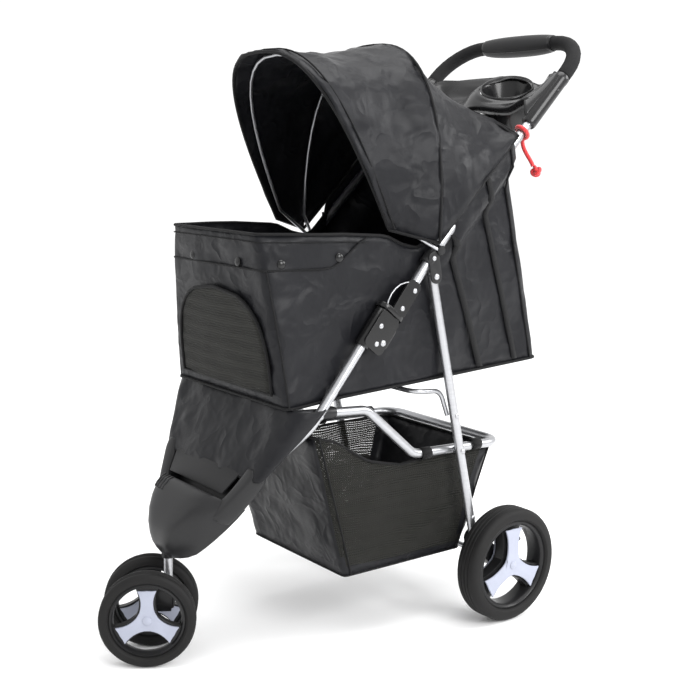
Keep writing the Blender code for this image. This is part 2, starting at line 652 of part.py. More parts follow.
def shell_between(name, rows, thickness, finish, offset=-1, floor=False, inside=(0, 0.06, 0.6)):
    """A sheet through rows of points that faces away from a point inside, made a thin closed shell."""
    mesh = bpy.data.meshes.new(name)
    work = bmesh.new()
    grid = [[work.verts.new(point) for point in row] for row in rows]
    wrap = floor
    for low, high in zip(grid, grid[1:]):
        count = len(low) if wrap else len(low) - 1
        for i in range(count):
            j = (i + 1) % len(low)
            work.faces.new((low[i], low[j], high[j], high[i]))
    if floor:
        work.faces.new(list(reversed(grid[0])))
    bmesh.ops.recalc_face_normals(work, faces=work.faces)
    outward = sum((face.calc_center_median() - Vector(inside)).dot(face.normal) for face in work.faces)
    if outward < 0:
        bmesh.ops.reverse_faces(work, faces=work.faces)
    work.to_mesh(mesh)
    work.free()
    obj = add(name, mesh, finish)
    solid = obj.modifiers.new("thickness", "SOLIDIFY")
    solid.thickness = thickness
    solid.offset = offset
    return obj


def cabin_top(y):
    """The height of the cabin's upper edge along its side."""
    if y < -0.015:
        return CABIN_RIM
    follow = upper_height(y) - 0.022
    return max(follow, 0.600 + (CABIN_RIM - 0.600) * max(0.0, (0.050 - y) / 0.065))


def cabin():
    """The fabric tub: a floor, a front face, two sides and a leaning rear panel."""
    levels = 6
    stations = [(0.0, 0.0), (0.5, 0.0), (0.9, 0.0), (1.0, 0.03)]
    stations += [(1.0, s) for s in (0.10, 0.22, 0.34, 0.42, 0.50, 0.58, 0.66, 0.76, 0.88, 0.97)]
    stations += [(0.93, 1.0), (0.5, 1.0)]
    ring = stations + [(0.0, 1.0)] + [(-a, b) for a, b in reversed(stations[1:])]
    rows = []
    for level in range(levels + 1):
        up = level / levels
        row = []
        for across, along in ring:
            foot = CABIN_FOOT[0] + along * (CABIN_FOOT[1] - CABIN_FOOT[0])
            y_foot = CABIN_FRONT + along * (CABIN_REAR_FOOT[0] - CABIN_FRONT)
            y_top = CABIN_FRONT + along * (CABIN_REAR_TOP[0] - CABIN_FRONT)
            top = CABIN_RIM if along < 0.05 else cabin_top(y_top)
            z = foot + up * (top - foot)
            y = y_foot + up * (y_top - y_foot)
            front_half = CABIN_FRONT_X[0] + up * (CABIN_FRONT_X[1] - CABIN_FRONT_X[0])
            blend = min(1.0, along / 0.22)
            half = front_half + blend * (CABIN_X - front_half)
            row.append((across * half, y, z))
        rows.append(row)
    shell_between("cabin_body", rows, CLOTH, "nylon", floor=True)
    slope = atan2(CABIN_FOOT[1] - CABIN_FOOT[0], CABIN_REAR_FOOT[0] - CABIN_FRONT)
    length = CABIN_REAR_FOOT[0] - CABIN_FRONT - 0.030
    middle = ((CABIN_REAR_FOOT[0] + CABIN_FRONT) / 2, (CABIN_FOOT[0] + CABIN_FOOT[1]) / 2 + CLOTH + 0.0042)
    box("floor_board", (CABIN_X * 2 - 0.032, length, 0.006), (0, *middle), Matrix.Rotation(slope, 4, "X"),
        "board")


def arch(foot, half_width, top, square=2.6, steps=16):
    """An arch from the left foot over the top to the right foot. foot and top are (y, z)."""
    points = []
    for step in range(steps + 1):
        turn = pi * step / steps
        across = abs(cos(turn)) ** (2 / square) * (1 if cos(turn) >= 0 else -1)
        rise = sin(turn) ** (2 / square) if 0 < step < steps else 0
        points.append((half_width * across, foot[0] + rise * (top[0] - foot[0]),
                       foot[1] + rise * (top[1] - foot[1])))
    return points


CANOPY_X = BOW_X + BOW + 0.0012
FRONT_ARCH = ((-0.015, 0.657), CANOPY_X - 0.0267, (-0.122, 0.920))
MID_ARCH = ((0.060, 0.646), CANOPY_X, (0.070, 0.932))
REAR_ARCH = ((0.232, 0.812), CANOPY_X, (0.262, 0.868))


def between_arches(first, last, share):
    """The arch a share of the way between two others."""
    pairs = zip(arch(*first), arch(*last))
    return [tuple(Vector(a).lerp(Vector(b), share)) for a, b in pairs]


def canopy():
    shares = (0.0, 0.33, 0.66, 0.994)
    rows = [between_arches(FRONT_ARCH, MID_ARCH, share) for share in shares]
    shell_between("canopy_front_gore", rows, CLOTH, "nylon", offset=1)
    shares = (0.006, 0.33, 0.66, 1.0)
    rows = [between_arches(MID_ARCH, REAR_ARCH, share) for share in shares]
    shell_between("canopy_rear_gore", rows, CLOTH, "nylon", offset=1)


def bows():
    """Wire hoops that carry the canopy and turn about the pivot on the upper frame."""
    for name, (foot, half, top), shift, gap in (("front_bow", FRONT_ARCH, 0.004, 0.0018),
                                                ("mid_bow", MID_ARCH, -0.004, 0.0038)):
        inset = BOW + gap
        low = (foot[0] + shift, foot[1] + 0.012)
        hoop = arch(low, half - inset, (top[0] + shift, top[1] - inset), steps=20)
        reach = BOW_X if name == "mid_bow" else BOW_X - 0.0005
        ends = [(side * reach, CANOPY_PIVOT[0] - shift, CANOPY_PIVOT[1]) for side in (LEFT, RIGHT)]
        tube(name, [ends[0], *hoop, ends[1]], BOW, "frame_silver", sides=8)


def front_cover():
    """The apron between the front legs, from the cabin down to the foot plate."""
    top = (-0.190, 0.388)
    foot = (PLATE_TOP[0] + 0.006, PLATE_TOP[1] - 0.004)
    rows = []
    for share in (0.0, 0.5, 1.0):
        y = top[0] + share * (foot[0] - top[0])
        z = top[1] + share * (foot[1] - top[1])
        half = 0.128 + share * (0.094 - 0.128)
        rows.append([(half * across, y, z) for across in (1, 0.5, 0, -0.5, -1)])
    shell_between("front_cover", rows, CLOTH, "nylon", offset=0)


def basket():
    """The storage basket under the cabin: a floor and four walls, hung inside the basket tube."""
    half = (0.126, 0.132)
    front = (-0.070, -0.140)
    rear = (0.172, 0.226)
    height = (0.110, 0.272)
    front_top = 0.340
    levels = 4
    corners = [(1, 0), (1, 0.25), (1, 0.5), (1, 0.75), (1, 1), (0.5, 1), (0, 1)]
    corners += [(-a, b) for a, b in reversed(corners[:-1])] + [(-0.5, 0), (0, 0), (0.5, 0)]
    rows = []
    for level in range(levels + 1):
        up = level / levels
        row = []
        for across, along in corners:
            top = front_top + min(1.0, along / 0.75) * (height[1] - front_top)
            y_front = front[0] + up * (front[1] - front[0])
            y_rear = rear[0] + up * (rear[1] - rear[0])
            z = height[0] + up * (top - height[0])
            width = half[0] + up * (half[1] - half[0])
            row.append((across * width, y_front + along * (y_rear - y_front), z))
        rows.append(row)
    shell_between("storage_basket", rows, CLOTH, "nylon", floor=True)


def cord():
    """A short red cord tied round the left side of the handle, with a knot at its free end."""
    centre = Vector((FRAME_X, *on_handle(CORD_RUN)))
    mesh = bpy.data.meshes.new("pull_cord")
    loop = add("pull_cord", mesh, "red_cord")
    ring_radius = TUBE + CORD + BORE_GAP
    work = bmesh.new()
    around, across = 20, 8
    rings = []
    for i in range(around):
        turn = Matrix.Rotation(2 * pi * i / around, 3, "Z")
        arms = [Vector((ring_radius + CORD * cos(a), 0, CORD * sin(a))) for a in
                [2 * pi * k / across for k in range(across)]]
        rings.append([work.verts.new(turn @ arm) for arm in arms])
    for i in range(around):
        for k in range(across):
            ahead, beside = (i + 1) % around, (k + 1) % across
            work.faces.new((rings[i][k], rings[ahead][k], rings[ahead][beside], rings[i][beside]))
    bmesh.ops.recalc_face_normals(work, faces=work.faces)
    work.to_mesh(mesh)
    work.free()
    loop.matrix_world = Matrix.Translation(centre) @ Matrix.Rotation(HANDLE_ANGLE - pi / 2, 4, "X")
    shade(loop)

    start_point = centre + Vector((0, ring_radius * sin(HANDLE_ANGLE), -ring_radius * cos(HANDLE_ANGLE)))
    route = [(0, 0, 0), (0.0016, 0.0022, -0.008), (0.0030, 0.0052, -0.017), (0.0042, 0.0088, -0.027),
             (0.0052, 0.0126, -0.037), (0.0060, 0.0160, -0.046)]
    tail = tube("cord tail", [start_point + Vector(step) for step in route], CORD, sides=8)
    boolean(loop, tail, "UNION")
    knot = start_point + Vector(route[-1]) + Vector((0.001, 0.0038, -0.0095))
    ball = bpy.data.meshes.new("pull_cord_knot")
    work = bmesh.new()
    bmesh.ops.create_uvsphere(work, u_segments=12, v_segments=8, radius=0.0084)
    work.to_mesh(ball)
    work.free()
    add("pull_cord_knot", ball, "red_cord").location = knot
    shade(bpy.data.objects["pull_cord_knot"])


def main():
    start()
    front_legs()
    latches()
    pivot_pins()
    nose()
    foot_plate()
    upper_frame()
    grips()
    cup_tray()
    leg_brackets()
    rear_frame()
    basket_tube()
    wheels()
    caster()
    brakes()
    cabin()
    canopy()
    bows()
    front_cover()
    basket()
    cord()


main()
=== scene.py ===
"""Looks of a folding three-wheeled pet stroller: fabric, mouldings, wheels, trim, stage and camera."""

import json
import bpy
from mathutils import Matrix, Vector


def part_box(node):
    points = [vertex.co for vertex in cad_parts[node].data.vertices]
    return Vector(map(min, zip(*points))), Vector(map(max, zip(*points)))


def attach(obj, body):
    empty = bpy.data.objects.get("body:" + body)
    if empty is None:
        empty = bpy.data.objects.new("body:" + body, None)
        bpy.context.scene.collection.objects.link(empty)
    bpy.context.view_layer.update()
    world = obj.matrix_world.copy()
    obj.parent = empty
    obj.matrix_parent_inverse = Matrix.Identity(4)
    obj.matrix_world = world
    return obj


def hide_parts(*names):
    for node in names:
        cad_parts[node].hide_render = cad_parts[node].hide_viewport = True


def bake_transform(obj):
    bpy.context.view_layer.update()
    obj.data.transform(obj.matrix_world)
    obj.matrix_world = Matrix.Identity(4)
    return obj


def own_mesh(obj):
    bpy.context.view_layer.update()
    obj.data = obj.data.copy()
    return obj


bl_info = {
    "name": "Pet Stroller Finishes",
    "version": (1, 0, 0),
    "blender": (4, 5, 0),
    "location": "View3D > Sidebar > Stroller",
    "description": "Builds the fabric, mouldings, wheels and trim of a folding pet stroller",
    "category": "Object",
}

from math import atan2, cos, pi, radians, sin, tan

import bmesh
import bpy
from bpy.props import FloatProperty, FloatVectorProperty, PointerProperty
from mathutils import Matrix, Vector, noise

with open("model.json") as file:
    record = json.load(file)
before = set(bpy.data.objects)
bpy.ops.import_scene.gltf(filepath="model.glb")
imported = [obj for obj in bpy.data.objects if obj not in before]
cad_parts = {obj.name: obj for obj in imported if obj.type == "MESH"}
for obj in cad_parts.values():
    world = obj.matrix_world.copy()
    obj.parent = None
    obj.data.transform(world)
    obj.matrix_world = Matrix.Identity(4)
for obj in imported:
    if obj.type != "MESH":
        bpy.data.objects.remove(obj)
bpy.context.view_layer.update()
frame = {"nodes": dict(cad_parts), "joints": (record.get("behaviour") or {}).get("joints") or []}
JOINTS = {joint["name"]: joint for joint in frame["joints"]}
SIDES = (("left", 1), ("right", -1))

# ---------------------------------------------------------------- lines of the folding frame

TUBE = 0.0075
FRAME_X = sum(corner.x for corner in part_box("rear_leg_left")) / 2
BASKET_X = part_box("basket_tube")[1].x - TUBE
FOLD_PIVOT = Vector(JOINTS["frame_fold"]["pos_m"])
FRONT_PIVOT = Vector(JOINTS["basket_fold"]["pos_m"])
LEG_PIVOT = Vector(JOINTS["rear_leg_fold"]["pos_m"])
CANOPY_PIVOT = Vector(JOINTS["canopy_mid_fold"]["pos_m"])
LATCH_LINE = Vector(JOINTS["latch_slide_left"]["axis"])
HANDLE_SLOPE = radians(45.5)
BEND = FOLD_PIVOT + LATCH_LINE * 0.158
GRIP_LINE = Vector((0, cos(HANDLE_SLOPE), sin(HANDLE_SLOPE)))
LATCH_FORWARD = Vector((0, -LATCH_LINE.z, LATCH_LINE.y))


def on_latch(side, run, forward=0.0):
    """A point on a latch's line: run from the fold pivot, and a distance in front of the line."""
    return Vector((side * FRAME_X, 0, 0)) + FOLD_PIVOT + LATCH_LINE * run + LATCH_FORWARD * forward


def on_handle(side, run):
    """A point on the handle tube's middle, run from its bend."""
    return Vector((side * FRAME_X, 0, 0)) + BEND + GRIP_LINE * run


def handle_height(y):
    return BEND.z + (y - BEND.y) * tan(HANDLE_SLOPE)


def smooth(value, low, high):
    """0 up to low, 1 from high on, and an S-curve in between."""
    share = min(1.0, max(0.0, (value - low) / (high - low)))
    return share * share * (3 - 2 * share)


def table(points, at):
    """A value read from (place, value) points with straight lines between them."""
    if at <= points[0][0]:
        return points[0][1]
    for (low, first), (high, last) in zip(points, points[1:]):
        if at <= high:
            return first + (last - first) * (at - low) / (high - low)
    return points[-1][1]


# ---------------------------------------------------------------- shader building


class Link:
    """An output socket whose arithmetic adds Math nodes."""

    def __init__(self, shader, socket):
        self.shader = shader
        self.socket = socket

    def maths(self, operation, *values):
        return self.shader.node("ShaderNodeMath", {"operation": operation}, *values)

    def __add__(self, other):
        return self.maths("ADD", self, other)

    def __radd__(self, other):
        return self.maths("ADD", other, self)

    def __sub__(self, other):
        return self.maths("SUBTRACT", self, other)

    def __rsub__(self, other):
        return self.maths("SUBTRACT", other, self)

    def __mul__(self, other):
        return self.maths("MULTIPLY", self, other)

    def __rmul__(self, other):
        return self.maths("MULTIPLY", other, self)

    def __gt__(self, other):
        return self.maths("GREATER_THAN", self, other)

    def sine(self):
        return self.maths("SINE", self)

    def size(self):
        return self.maths("ABSOLUTE", self)


class Finish:
    """A material under construction: a Principled shader and the nodes that feed it."""

    def __init__(self, name, **values):
        self.material = bpy.data.materials.new(name)
        self.material.use_nodes = True
        self.tree = self.material.node_tree
        self.shader = self.tree.nodes["Principled BSDF"]
        for label, value in values.items():
            self.shader.inputs[label.replace("_", " ")].default_value = value

    def node(self, kind, settings, *values, out=0, **named):
        made = self.tree.nodes.new(kind)
        for label, value in settings.items():
            setattr(made, label, value)
        for place, value in [*enumerate(values), *named.items()]:
            socket = made.inputs[place if isinstance(place, int) else place.replace("_", " ")]
            if isinstance(value, Link):
                self.tree.links.new(value.socket, socket)
            elif value is not None:
                socket.default_value = value
        return Link(self, made.outputs[out])

    def feed(self, label, link):
        self.tree.links.new(link.socket, self.shader.inputs[label])

    def place(self, *scale):
        """Object coordinates, scaled along each axis."""
        coordinates = self.node("ShaderNodeTexCoord", {}, out=3)
        return self.node("ShaderNodeMapping", {}, coordinates, Scale=scale) if scale else coordinates

    def noise(self, scale, detail=3.0, at=None, roughness=0.5, distortion=0.0):
        return self.node("ShaderNodeTexNoise", {}, Vector=at or self.place(), Scale=scale, Detail=detail,
                         Roughness=roughness, Distortion=distortion)

    def mix(self, amount, first, last):
        return self.node("ShaderNodeMix", {"data_type": "RGBA"}, amount, None, None, None, None, None,
                         (*first, 1), (*last, 1), out=2)

    def bump(self, height, strength, distance, below=None):
        return self.node("ShaderNodeBump", {}, Strength=strength, Distance=distance, Height=height,
                         Normal=below)

    def axes(self):
        split = self.tree.nodes.new("ShaderNodeSeparateXYZ")
        self.tree.links.new(self.place().socket, split.inputs[0])
        return [Link(self, output) for output in split.outputs]


FINISHES = {}


def weave_height(finish, pitch):
    """Crossing threads, as a height from three sine waves along the axes."""
    x, y, z = finish.axes()
    turn = 2 * pi / pitch
    return (x * turn).sine() * 0.33 + (y * turn).sine() * 0.33 + (z * turn).sine() * 0.33


def nylon(name, colour, glow, wrinkles=0.55):
    """Coated nylon: tight weave, a satin sheen, soft dents and small sharp creases."""
    finish = Finish(name, Sheen_Weight=0.03, Sheen_Roughness=0.35, Specular_IOR_Level=0.17)
    patches = finish.noise(7, 4)
    finish.feed("Base Color", finish.mix(patches, colour, glow))
    finish.feed("Roughness", finish.noise(26, 4) * 0.20 + 0.30)
    dents = finish.noise(6.5, 2, roughness=0.4)
    creases = 1 - (finish.noise(19, 2, roughness=0.5, distortion=0.25) - 0.5).size() * 3.2
    base = finish.bump(dents * 3.0 + creases * 0.24, wrinkles, 0.022)
    finish.feed("Normal", finish.bump(weave_height(finish, 0.0011), 0.15, 0.0004, base))
    return finish.material


def netting(name, colour, opening):
    """Open polyester mesh: a hexagonal-looking lattice of holes in a dull thread."""
    finish = Finish(name, Roughness=0.7, Sheen_Weight=0.05, Specular_IOR_Level=0.15)
    x, y, z = finish.axes()
    turn = 2 * pi / 0.0042
    lattice = ((x + z) * turn).sine() + ((y - z) * turn).sine() + ((z * 1.2 + x) * turn).sine()
    finish.feed("Alpha", 1 - (lattice > opening) * 0.92)
    finish.feed("Base Color", finish.mix(finish.noise(60, 2), colour, [c * 1.7 for c in colour]))
    finish.feed("Normal", finish.bump(lattice, 0.4, 0.0006))
    return finish.material


def moulded(name, colour, roughness, grain=0.15, coat=0.0):
    """Injection-moulded plastic: a fine grain and slightly uneven gloss."""
    finish = Finish(name, Coat_Weight=coat, Coat_Roughness=0.12, Specular_IOR_Level=0.22)
    scuffs = finish.noise(22, 5, roughness=0.65)
    finish.feed("Base Color", finish.mix(scuffs, colour, [c * 1.35 + 0.004 for c in colour]))
    finish.feed("Roughness", scuffs * 0.16 + (roughness - 0.08))
    finish.feed("Normal", finish.bump(finish.noise(900, 2), grain, 0.0003))
    return finish.material


def silver(name):
    """Silver-painted steel tube: metallic flake, drawn along its length, with faint handling marks."""
    finish = Finish(name, Metallic=0.92, Coat_Weight=0.35, Coat_Roughness=0.15)
    flake = finish.noise(1400, 2)
    marks = finish.noise(7, 5, at=finish.place(3, 3, 40))
    finish.feed("Base Color", finish.mix(marks, (0.34, 0.345, 0.36), (0.46, 0.465, 0.48)))
    finish.feed("Roughness", marks * 0.16 + flake * 0.08 + 0.22)
    finish.feed("Normal", finish.bump(flake, 0.08, 0.0002))
    return finish.material


def tyre_rubber(name):
    finish = Finish(name, Specular_IOR_Level=0.18)
    dust = finish.noise(40, 5)
    finish.feed("Base Color", finish.mix(dust, (0.006, 0.006, 0.0065), (0.013, 0.0125, 0.012)))
    finish.feed("Roughness", dust * 0.25 + 0.5)
    finish.feed("Normal", finish.bump(finish.noise(500, 3), 0.25, 0.0005))
    return finish.material


def foam_rubber(name):
    finish = Finish(name, Specular_IOR_Level=0.14)
    cells = finish.node("ShaderNodeTexVoronoi", {}, Vector=finish.place(), Scale=700)
    speckle = finish.noise(30, 3)
    finish.feed("Base Color", finish.mix(speckle, (0.0065, 0.0065, 0.007), (0.013, 0.013, 0.0135)))
    finish.feed("Roughness", finish.noise(80, 3) * 0.2 + 0.62)
    finish.feed("Normal", finish.bump(cells, 0.4, 0.0005))
    return finish.material


def braid(name, colour):
    """A round braided cord: slanting strands, darker in the grooves between them."""
    finish = Finish(name, Sheen_Weight=0.3)
    x, y, z = finish.axes()
    strands = ((z * 2600 + x * 1500).sine() * (z * 2600 - y * 1500).sine()) * 0.5 + 0.5
    # Painted shade: the base colour darkens where the strand pattern is low, in the grooves between strands.
    finish.feed("Base Color", finish.mix(strands, [c * 0.55 for c in colour], colour))
    finish.feed("Roughness", strands * 0.2 + 0.45)
    finish.feed("Normal", finish.bump(strands, 0.7, 0.0008))
    return finish.material


def webbing(name, colour):
    """Ribbed polyester tape for bindings, straps and piping."""
    finish = Finish(name, Sheen_Weight=0.03, Specular_IOR_Level=0.15)
    x, y, z = finish.axes()
    ribs = ((x + y + z) * (2 * pi / 0.0016)).sine() * 0.5 + 0.5
    # Painted shade and painted highlight: the base colour darkens in the troughs between the ribs and
    # lightens on their crests.
    finish.feed("Base Color", finish.mix(ribs, [c * 0.7 for c in colour], [c * 1.5 for c in colour]))
    finish.feed("Roughness", finish.noise(70, 3) * 0.2 + 0.55)
    finish.feed("Normal", finish.bump(ribs, 0.5, 0.0006))
    return finish.material


def finish_named(name):
    return FINISHES[name]


# ---------------------------------------------------------------- making pieces


def link(obj, finish, body, slot):
    bpy.context.scene.collection.objects.link(obj)
    if finish:
        obj.data.materials.append(finish_named(finish))
    if body:
        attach(obj, body)
    return obj


def mesh_piece(name, points, faces, finish, body, slot, sharp=40):
    mesh = bpy.data.meshes.new(name)
    mesh.from_pydata([tuple(point) for point in points], [], faces)
    tidy = bmesh.new()
    tidy.from_mesh(mesh)
    bmesh.ops.recalc_face_normals(tidy, faces=tidy.faces)
    tidy.to_mesh(mesh)
    tidy.free()
    mesh.shade_smooth()
    if sharp:
        mesh.set_sharp_from_angle(angle=radians(sharp))
    return link(bpy.data.objects.new(name, mesh), finish, body, slot)


def loft(name, rows, finish, body, slot, wrap=False, caps=False, sharp=40):
    """A surface through rows of points. wrap closes each row, and caps closes both ends."""
    points = [point for row in rows for point in row]
    count = len(rows[0])
    faces = []
    for low in range(len(rows) - 1):
        for i in range(count if wrap else count - 1):
            j = (i + 1) % count
            faces.append((low * count + i, low * count + j, (low + 1) * count + j, (low + 1) * count + i))
    if caps:
        faces.append(tuple(reversed(range(count))))
        faces.append(tuple(range((len(rows) - 1) * count, len(rows) * count)))
    return mesh_piece(name, points, faces, finish, body, slot, sharp)


def tube_piece(name, path, radius, finish, body, slot, closed=False, sides=12):
    """A round cord, piping or wire along a path, as a curve with a round bevel."""
    curve = bpy.data.curves.new(name, "CURVE")
    curve.dimensions = "3D"
    spline = curve.splines.new("POLY")
    spline.points.add(len(path) - 1)
    for point, place in zip(spline.points, path):
        point.co = (*place, 1)
    spline.use_cyclic_u = closed
    spline.use_smooth = True
    curve.bevel_depth = radius
    curve.bevel_resolution = (sides - 4) // 2
    curve.use_fill_caps = True
    return link(bpy.data.objects.new(name, curve), finish, body, slot)


def strip(name, path, across, width, finish, body, slot, thickness=0.0012):
    """A flat tape along a path. across gives its width direction at each point."""
    rows = []
    for point, direction in zip(path, across):
        arm = Vector(direction).normalized() * width / 2
        rows.append([Vector(point) - arm, Vector(point), Vector(point) + arm])
    tape = loft(name, rows, finish, body, slot)
    thicken(tape, thickness, 0)
    return tape


def turned(name, profile, centre, axis, finish, body, slot, steps=48, sharp=35):
    """A closed profile of (radius, along) points turned about an axis through a centre."""
    turn = Vector((0, 0, 1)).rotation_difference(Vector(axis)).to_matrix().to_4x4()
    place = Matrix.Translation(centre) @ turn
    rows = []
    for step in range(steps):
        angle = 2 * pi * step / steps
        rows.append([place @ Vector((r * cos(angle), r * sin(angle), h)) for r, h in profile])
    count = len(profile)
    points = [point for row in rows for point in row]
    faces = []
    for i in range(steps):
        for k in range(count):
            ahead = (i + 1) % steps
            beside = (k + 1) % count
            faces.append((i * count + k, ahead * count + k, ahead * count + beside, i * count + beside))
    return mesh_piece(name, points, faces, finish, body, slot, sharp)


def dome(name, centre, axis, radius, height, finish, body, slot):
    """A small rounded rivet head or press stud standing on a surface."""
    profile = [(0.0001, height), (radius * 0.45, height * 0.93), (radius * 0.8, height * 0.6),
               (radius, height * 0.1), (radius, -height * 0.4), (0.0001, -height * 0.4)]
    return turned(name, profile, centre, axis, finish, body, slot, steps=20)


def flat_plate(name, outline, thickness, place, finish, body, slot, rounding=0.0006):
    """A closed outline in local XY, filled and thickened about local Z, with rounded edges."""
    curve = bpy.data.curves.new(name, "CURVE")
    curve.dimensions = "2D"
    curve.fill_mode = "BOTH"
    spline = curve.splines.new("POLY")
    spline.points.add(len(outline) - 1)
    for point, (x, y) in zip(spline.points, outline):
        point.co = (x, y, 0, 1)
    spline.use_cyclic_u = True
    curve.extrude = thickness / 2
    shape = bpy.data.objects.new(name, curve)
    bpy.context.scene.collection.objects.link(shape)
    bpy.context.view_layer.update()
    graph = bpy.context.evaluated_depsgraph_get()
    mesh = bpy.data.meshes.new_from_object(shape.evaluated_get(graph))
    bpy.data.objects.remove(shape, do_unlink=True)
    work = bmesh.new()
    work.from_mesh(mesh)
    bmesh.ops.remove_doubles(work, verts=work.verts, dist=0.00005)
    bmesh.ops.transform(work, matrix=place, verts=work.verts)
    bmesh.ops.recalc_face_normals(work, faces=work.faces)
    work.to_mesh(mesh)
    work.free()
    mesh.shade_smooth()
    mesh.set_sharp_from_angle(angle=radians(35))
    plate = link(bpy.data.objects.new(name, mesh), finish, body, slot)
    round_edges(plate, rounding)
    return plate


def round_edges(obj, width):
    rounded = obj.modifiers.new("rounded edges", "BEVEL")
    rounded.width = width
    rounded.segments = 2
    rounded.limit_method = "ANGLE"
    rounded.angle_limit = radians(35)
    rounded.use_clamp_overlap = True


def thicken(obj, thickness, offset=-1):
    solid = obj.modifiers.new("thickness", "SOLIDIFY")
    solid.thickness = thickness
    solid.offset = offset
    return obj


def subdivide(obj, levels=1):
    modifier = obj.modifiers.new("smooth form", "SUBSURF")
    modifier.levels = modifier.render_levels = levels
    return obj


def settle(obj):
    """Replaces an object's mesh with its evaluated form, so that no modifier is left."""
    bpy.context.view_layer.update()
    graph = bpy.context.evaluated_depsgraph_get()
    made = bpy.data.meshes.new_from_object(obj.evaluated_get(graph))
    obj.modifiers.clear()
    obj.data = made
    return obj


def wrinkle(point, size, depth, lean=0.6):
    """Creased cloth as a distance: long ridges that lean, with smaller ones across them."""
    along = point.y * cos(lean) + point.z * sin(lean)
    across = point.z * cos(lean) - point.y * sin(lean)
    place = Vector((point.x / size, along / (size * 2.1), across / size))
    ridge = 1 - abs(noise.noise(place)) * 2.6
    fine = noise.noise(place * 2.9 + Vector((4.1, 2.7, 8.3)))
    return depth * (ridge * 0.6 + fine * 0.4)


def crumple(obj, size, depth, lean=0.6, hold=None):
    """Moves a mesh along its normals by the wrinkle pattern, less where hold returns a smaller share."""
    work = bmesh.new()
    work.from_mesh(obj.data)
    work.normal_update()
    moves = []
    for vertex in work.verts:
        share = hold(vertex.co) if hold else 1.0
        moves.append(vertex.normal * wrinkle(vertex.co, size, depth, lean) * share)
    for vertex, move in zip(work.verts, moves):
        vertex.co += move
    work.to_mesh(obj.data)
    work.free()


def soften(node, finish, angle=38, bevel=0.0):
    """Gives a packed node a finish and smooth shading without touching its shape."""
    obj = frame["nodes"][node]
    obj.data.materials.clear()
    obj.data.materials.append(finish_named(finish))
    stored = obj.data.attributes.get("custom_normal")
    if stored:
        obj.data.attributes.remove(stored)
    obj.data.polygons.foreach_set("use_smooth", [True] * len(obj.data.polygons))
    weld = obj.modifiers.new("weld", "WELD")
    weld.merge_threshold = 0.00005
    if bevel:
        round_edges(obj, bevel)
    split = obj.modifiers.new("crisp edges", "EDGE_SPLIT")
    split.split_angle = radians(angle)


def arch(foot, half_width, top, square=2.6, steps=40):
    """An arch from the left foot over the top to the right foot. foot and top are (y, z)."""
    points = []
    for step in range(steps + 1):
        turn = pi * step / steps
        side = 1 if cos(turn) >= 0 else -1
        across = side * abs(cos(turn)) ** (2 / square)
        rise = abs(sin(turn)) ** (2 / square) if 0 < step < steps else 0
        points.append(Vector((half_width * across, foot[0] + rise * (top[0] - foot[0]),
                              foot[1] + rise * (top[1] - foot[1]))))
    return points


# ---------------------------------------------------------------- settings


class StrollerSizes(bpy.types.PropertyGroup):
    """Sizes of the soft trim and of the wrinkles."""

    piping: FloatProperty(name="Piping", description="Radius of the piping along the fabric's edges",
                          default=0.0024, min=0.001, max=0.004, unit="LENGTH")
    cloth: FloatProperty(name="Cloth", description="Thickness of the fabric panels",
                         default=0.0016, min=0.0008, max=0.003, unit="LENGTH")
    crease: FloatProperty(name="Crease", description="Depth of the wrinkles in the fabric",
                          default=0.0042, min=0.0, max=0.008, unit="LENGTH")


class StrollerColours(bpy.types.PropertyGroup):
    """Colours of the main materials."""

    fabric: FloatVectorProperty(name="Fabric", description="Darker colour of the nylon", subtype="COLOR",
                                default=(0.0042, 0.0044, 0.0054), min=0, max=1)
    fabric_glow: FloatVectorProperty(name="Fabric glow", description="Lighter colour of the nylon",
                                     subtype="COLOR", default=(0.0098, 0.0100, 0.0122), min=0, max=1)
    net: FloatVectorProperty(name="Net", description="Colour of the mesh panels", subtype="COLOR",
                             default=(0.010, 0.010, 0.0085), min=0, max=1)
    plastic: FloatVectorProperty(name="Plastic", description="Colour of the black mouldings",
                                 subtype="COLOR", default=(0.0075, 0.0075, 0.008), min=0, max=1)
    cover: FloatVectorProperty(name="Wheel cover", description="Colour of the three-armed wheel covers",
                               subtype="COLOR", default=(0.27, 0.285, 0.345), min=0, max=1)
    cord: FloatVectorProperty(name="Cord", description="Colour of the tied cord", subtype="COLOR",
                              default=(0.72, 0.018, 0.022), min=0, max=1)


def make_finishes(colours):
    plastic = tuple(colours.plastic)
    FINISHES.update({
        "nylon": nylon("nylon", tuple(colours.fabric), tuple(colours.fabric_glow)),
        "lining": nylon("lining", (0.004, 0.004, 0.0045), (0.008, 0.008, 0.009), 0.4),
        "net": netting("net", tuple(colours.net), 0.45),
        "window": netting("window", tuple(colours.net), 1.5),
        "tape": webbing("tape", (0.0045, 0.0045, 0.005)),
        "plastic": moulded("plastic", plastic, 0.42, coat=0.1),
        "satin": moulded("satin", [c * 1.3 for c in plastic], 0.38, grain=0.2, coat=0.05),
        "shiny": moulded("shiny", [c * 0.5 for c in plastic], 0.24, grain=0.03, coat=0.25),
        "gloss": moulded("gloss", plastic, 0.28, grain=0.04, coat=0.25),
        "grip": moulded("grip", [c * 1.3 for c in plastic], 0.48, grain=0.5),
        "cover": moulded("cover", tuple(colours.cover), 0.34, grain=0.03, coat=0.1),
        "silver": silver("silver"),
        "tyre": tyre_rubber("tyre"),
        "foam": foam_rubber("foam"),
        "cord": braid("cord", tuple(colours.cord)),
    })


# ---------------------------------------------------------------- carried-over hard parts


